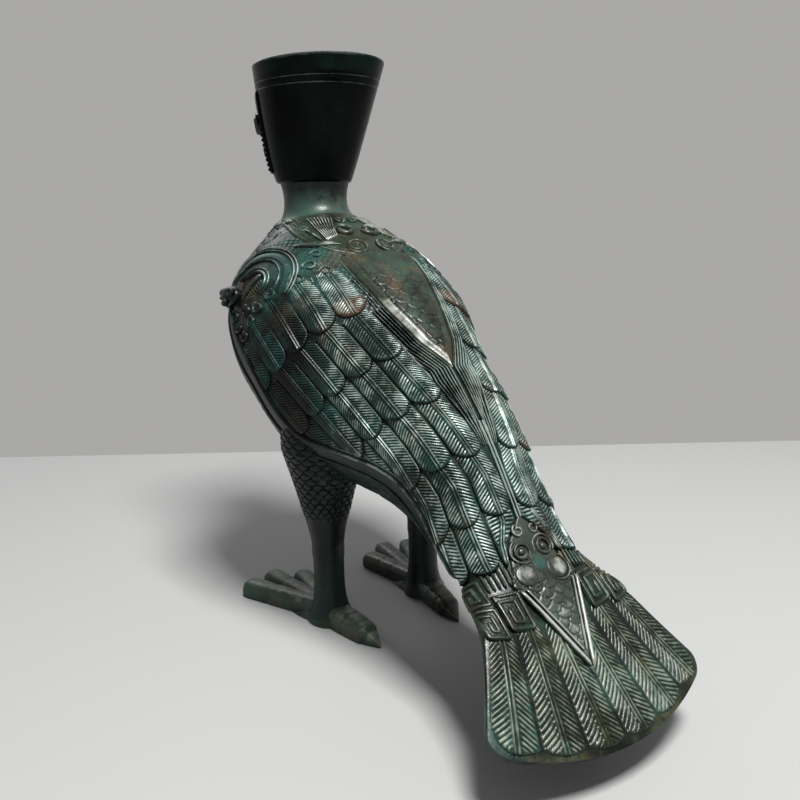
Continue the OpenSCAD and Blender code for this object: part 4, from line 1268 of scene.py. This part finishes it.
def face_piece():
    piece = Piece()

    def rule(u, v):
        up, out = mix(face_low, face_top, u), face_half * (2 * v - 1)
        to_end = np.minimum(up - face_low, (face_top - up) / 6)
        to_edge = np.minimum(to_end, face_half - np.abs(out))
        lower = ease((14 - up) / 3) * ease((np.abs(out) - 5) / 2)
        grooves = scale_grooves(out, -up, 4.0) * lower * ease((to_edge - 1) / 1)
        h = 1.1 + rounded(to_edge, 0.9, 0.8) - 0.4 * grooves
        return np.stack([up, out, h], -1), np.clip(0.45 - 0.4 * grooves, 0, 1)

    piece.grid(70, 150, rule)
    piece.set_down(on_cup, 0.5, gap=0.005)
    for side in (1, -1):
        brow = [(22, 3), (27, 9), (33.5, 17), (34.2, 25), (32, 31.5), (27, 33.5)]
        piece.bead(on_cup, line(*[(p, side * q) for p, q in brow]), 2.2, 1.5, level=0.9)
        piece.bead(on_cup, curl((27, side * 13), 5.0, 1.2, 180, side * 520, 60), 1.5, 1.3, level=0.9)
        piece.bead(on_cup, curl((16.5, side * 22), 4.6, 1.2, 0, -side * 520, 60), 1.5, 1.3, level=0.9)
        piece.bead(on_cup, curl((19, side * 10), 3.6, 1.0, 60, side * 470, 50), 1.3, 1.2, level=0.9)
        for k in range(9):
            dot = (face_low + 2.2 + 2.3 * k, side * (face_half - 2))
            lump(piece, on_cup, dot, (1.0, 1.0), 1.0, level=1.0, fine=10)
    piece.done("face_mask_dressed", cup_bronze, "green_bronze", ["face_mask"], sharp=60)


face_piece()


def eye_piece():
    piece = Piece()
    ring_eye(piece, on_cup, (eye_h, eye_round), eye_r - 0.9, 1.0, 2.4, 2.0)
    lump(piece, on_cup, (eye_h, eye_round), (eye_r - 0.6, eye_r - 0.6), 1.4, level=0.6, fine=24)
    return piece


pair(eye_piece(), "eye_boss", neck_bronze, "worn_bronze")


def beak_piece():
    piece = Piece()
    rows, steps = 40, 40
    top, low = face_low + face_h / 2 + beak_len / 2, face_low + face_h / 2 - beak_len / 2

    def rule(k, t):
        l = ring_share(k, rows)
        opened = open_ring(k, rows)
        up = mix(top, low, l)
        root = raised(on_cup, up, 0 * up, 0 * up + 0.6)
        w = beak_w / 2 * np.interp(l, [0, 0.2, 0.6, 0.85, 1], [0.5, 0.95, 0.75, 0.4, 0.12]) * opened
        reach = beak_out * np.interp(l, [0, 0.25, 0.6, 0.85, 1], [0.35, 0.85, 1.0, 0.85, 0.55]) * opened
        forward = np.maximum(-np.cos(t), -0.15)
        points = root.copy()
        points[:, 0] += w * np.sin(t)
        points[:, 1] -= reach * np.sign(forward) * np.abs(forward) ** 0.8
        nostril = hump(l - 0.3, 0.06) * hump(np.abs(np.sin(t)) - 0.8, 0.15)
        points[:, 0] -= np.sign(np.sin(t)) * 0.5 * nostril
        return points, np.clip(0.5 + 0.3 * forward - 0.5 * nostril, 0, 1)

    piece.roll(rows, steps, rule)
    piece.done("beak_dressed", cup_bronze, "green_bronze", ["beak"])


beak_piece()

# Beast heads on the shoulders

boss_s = float(distance_at(np.array([boss_a]), boss_turn)[0])


def boss_piece():
    piece = Piece()
    r = boss_r
    lump(piece, over_skin, (boss_a, boss_s), (r, r), r * 1.05, level=1.2, relief=0.6, fine=32)
    lump(piece, over_skin, (boss_a - 2.2, boss_s + 0.5), (2.6, 2.8), 3.0, level=4.6, relief=0.7, fine=24)
    for side in (1, -1):
        lump(piece, over_skin, (boss_a + 0.8, boss_s + side * 2.4), (1.2, 1.2), 1.2, level=6.2, fine=16)
        horn = curl((boss_a + 3.2, boss_s + side * 3.4), 2.2, 0.8, 180, side * 420, 36)
        piece.bead(over_skin, horn, 1.4, 1.3, level=5.0)
    return piece


pair(boss_piece(), "shoulder_boss", body_bronze, "bronze")

# Stage, light and camera

def stage_sheet(name, corners, colour):
    mesh = bpy.data.meshes.new(name)
    bm = bmesh.new()
    bm.faces.new([bm.verts.new(c) for c in corners])
    bm.to_mesh(mesh)
    bm.free()
    mat = bpy.data.materials.new(name)
    mat.use_nodes = True
    shader = mat.node_tree.nodes["Principled BSDF"]
    shader.inputs["Base Color"].default_value = (*colour, 1)
    shader.inputs["Roughness"].default_value = 0.9
    mesh.materials.append(mat)
    obj = bpy.data.objects.new(name, mesh)
    bpy.context.collection.objects.link(obj)


# The floor ends a little way behind the vessel, square to the camera's heading
floor_reach, floor_back, floor_colour = 3.0, 0.675, (0.37, 0.375, 0.366)
camera_place = (191.9, 331.8, 187.3)
camera_heading, camera_pitch, camera_roll = math.radians(211.96), math.radians(12.1), math.radians(-1.214)
heading = Vector((math.sin(camera_heading), math.cos(camera_heading), 0))
sideways = Vector((heading.y, -heading.x, 0))
stand_at = Vector((camera_place[0] * MM, (camera_place[1] + leg_y) * MM, 0))
far_left = stand_at + heading * floor_back - sideways * floor_reach
far_right = stand_at + heading * floor_back + sideways * floor_reach
near_left = far_left - heading * floor_reach
near_right = far_right - heading * floor_reach
stage_sheet("floor", [far_left, near_left, near_right, far_right], floor_colour)


def softbox(name, place_m, aim_m, size_m, watts):
    data = bpy.data.lights.new(name, "AREA")
    data.shape = "RECTANGLE"
    data.size, data.size_y = size_m
    data.energy = watts
    obj = bpy.data.objects.new(name, data)
    obj.location = place_m
    obj.rotation_euler = (Vector(aim_m) - Vector(place_m)).to_track_quat("-Z", "Y").to_euler()
    bpy.context.collection.objects.link(obj)


middle = (0, 0, 0.13)
softbox("key_light", (0.02, 0.44, 1.12), middle, (0.3, 0.3), 23.5)
softbox("side_light", (-0.95, 0.40, 0.60), middle, (0.5, 0.5), 0.4)
softbox("front_light", (-0.1, -1.1, 0.9), middle, (0.8, 0.5), 3.5)

world = bpy.data.worlds.new("studio")
world.use_nodes = True
room = world.node_tree.nodes["Background"]
room.inputs["Color"].default_value = (0.80, 0.80, 0.82, 1)
room.inputs["Strength"].default_value = 0.28
backdrop = world.node_tree.nodes.new("ShaderNodeBackground")
backdrop.inputs["Color"].default_value = (0.40, 0.395, 0.39, 1)
rays = world.node_tree.nodes.new("ShaderNodeLightPath")
choice = world.node_tree.nodes.new("ShaderNodeMixShader")
seen = rays.outputs["Is Camera Ray"]
for kind in ("Is Glossy Ray", "Is Transmission Ray"):
    either = world.node_tree.nodes.new("ShaderNodeMath")
    either.operation = "MAXIMUM"
    world.node_tree.links.new(seen, either.inputs[0])
    world.node_tree.links.new(rays.outputs[kind], either.inputs[1])
    seen = either.outputs[0]
world.node_tree.links.new(seen, choice.inputs["Fac"])
world.node_tree.links.new(room.outputs["Background"], choice.inputs[1])
world.node_tree.links.new(backdrop.outputs["Background"], choice.inputs[2])
world.node_tree.links.new(choice.outputs["Shader"], world.node_tree.nodes["World Output"].inputs["Surface"])
scene = bpy.context.scene
scene.world = world
scene.view_settings.view_transform = "Standard"

# The camera stands behind the bird's left side, a little above its back
camera_lens, camera_film = 36.98, 36
ahead = Vector((math.sin(camera_heading) * math.cos(camera_pitch),
                math.cos(camera_heading) * math.cos(camera_pitch), -math.sin(camera_pitch)))
level_right = ahead.cross(Vector((0, 0, 1))).normalized()
level_up = level_right.cross(ahead)
right = level_right * math.cos(camera_roll) + level_up * math.sin(camera_roll)
up = level_up * math.cos(camera_roll) - level_right * math.sin(camera_roll)
camera_data = bpy.data.cameras.new("camera")
camera_data.lens, camera_data.sensor_width = camera_lens, camera_film
camera = bpy.data.objects.new("camera", camera_data)
camera.matrix_world = Matrix.Translation(
    Vector(camera_place) * MM + Vector((0, leg_y * MM, 0))
) @ Matrix((right, up, -ahead)).transposed().to_4x4()
bpy.context.collection.objects.link(camera)
scene.camera = camera
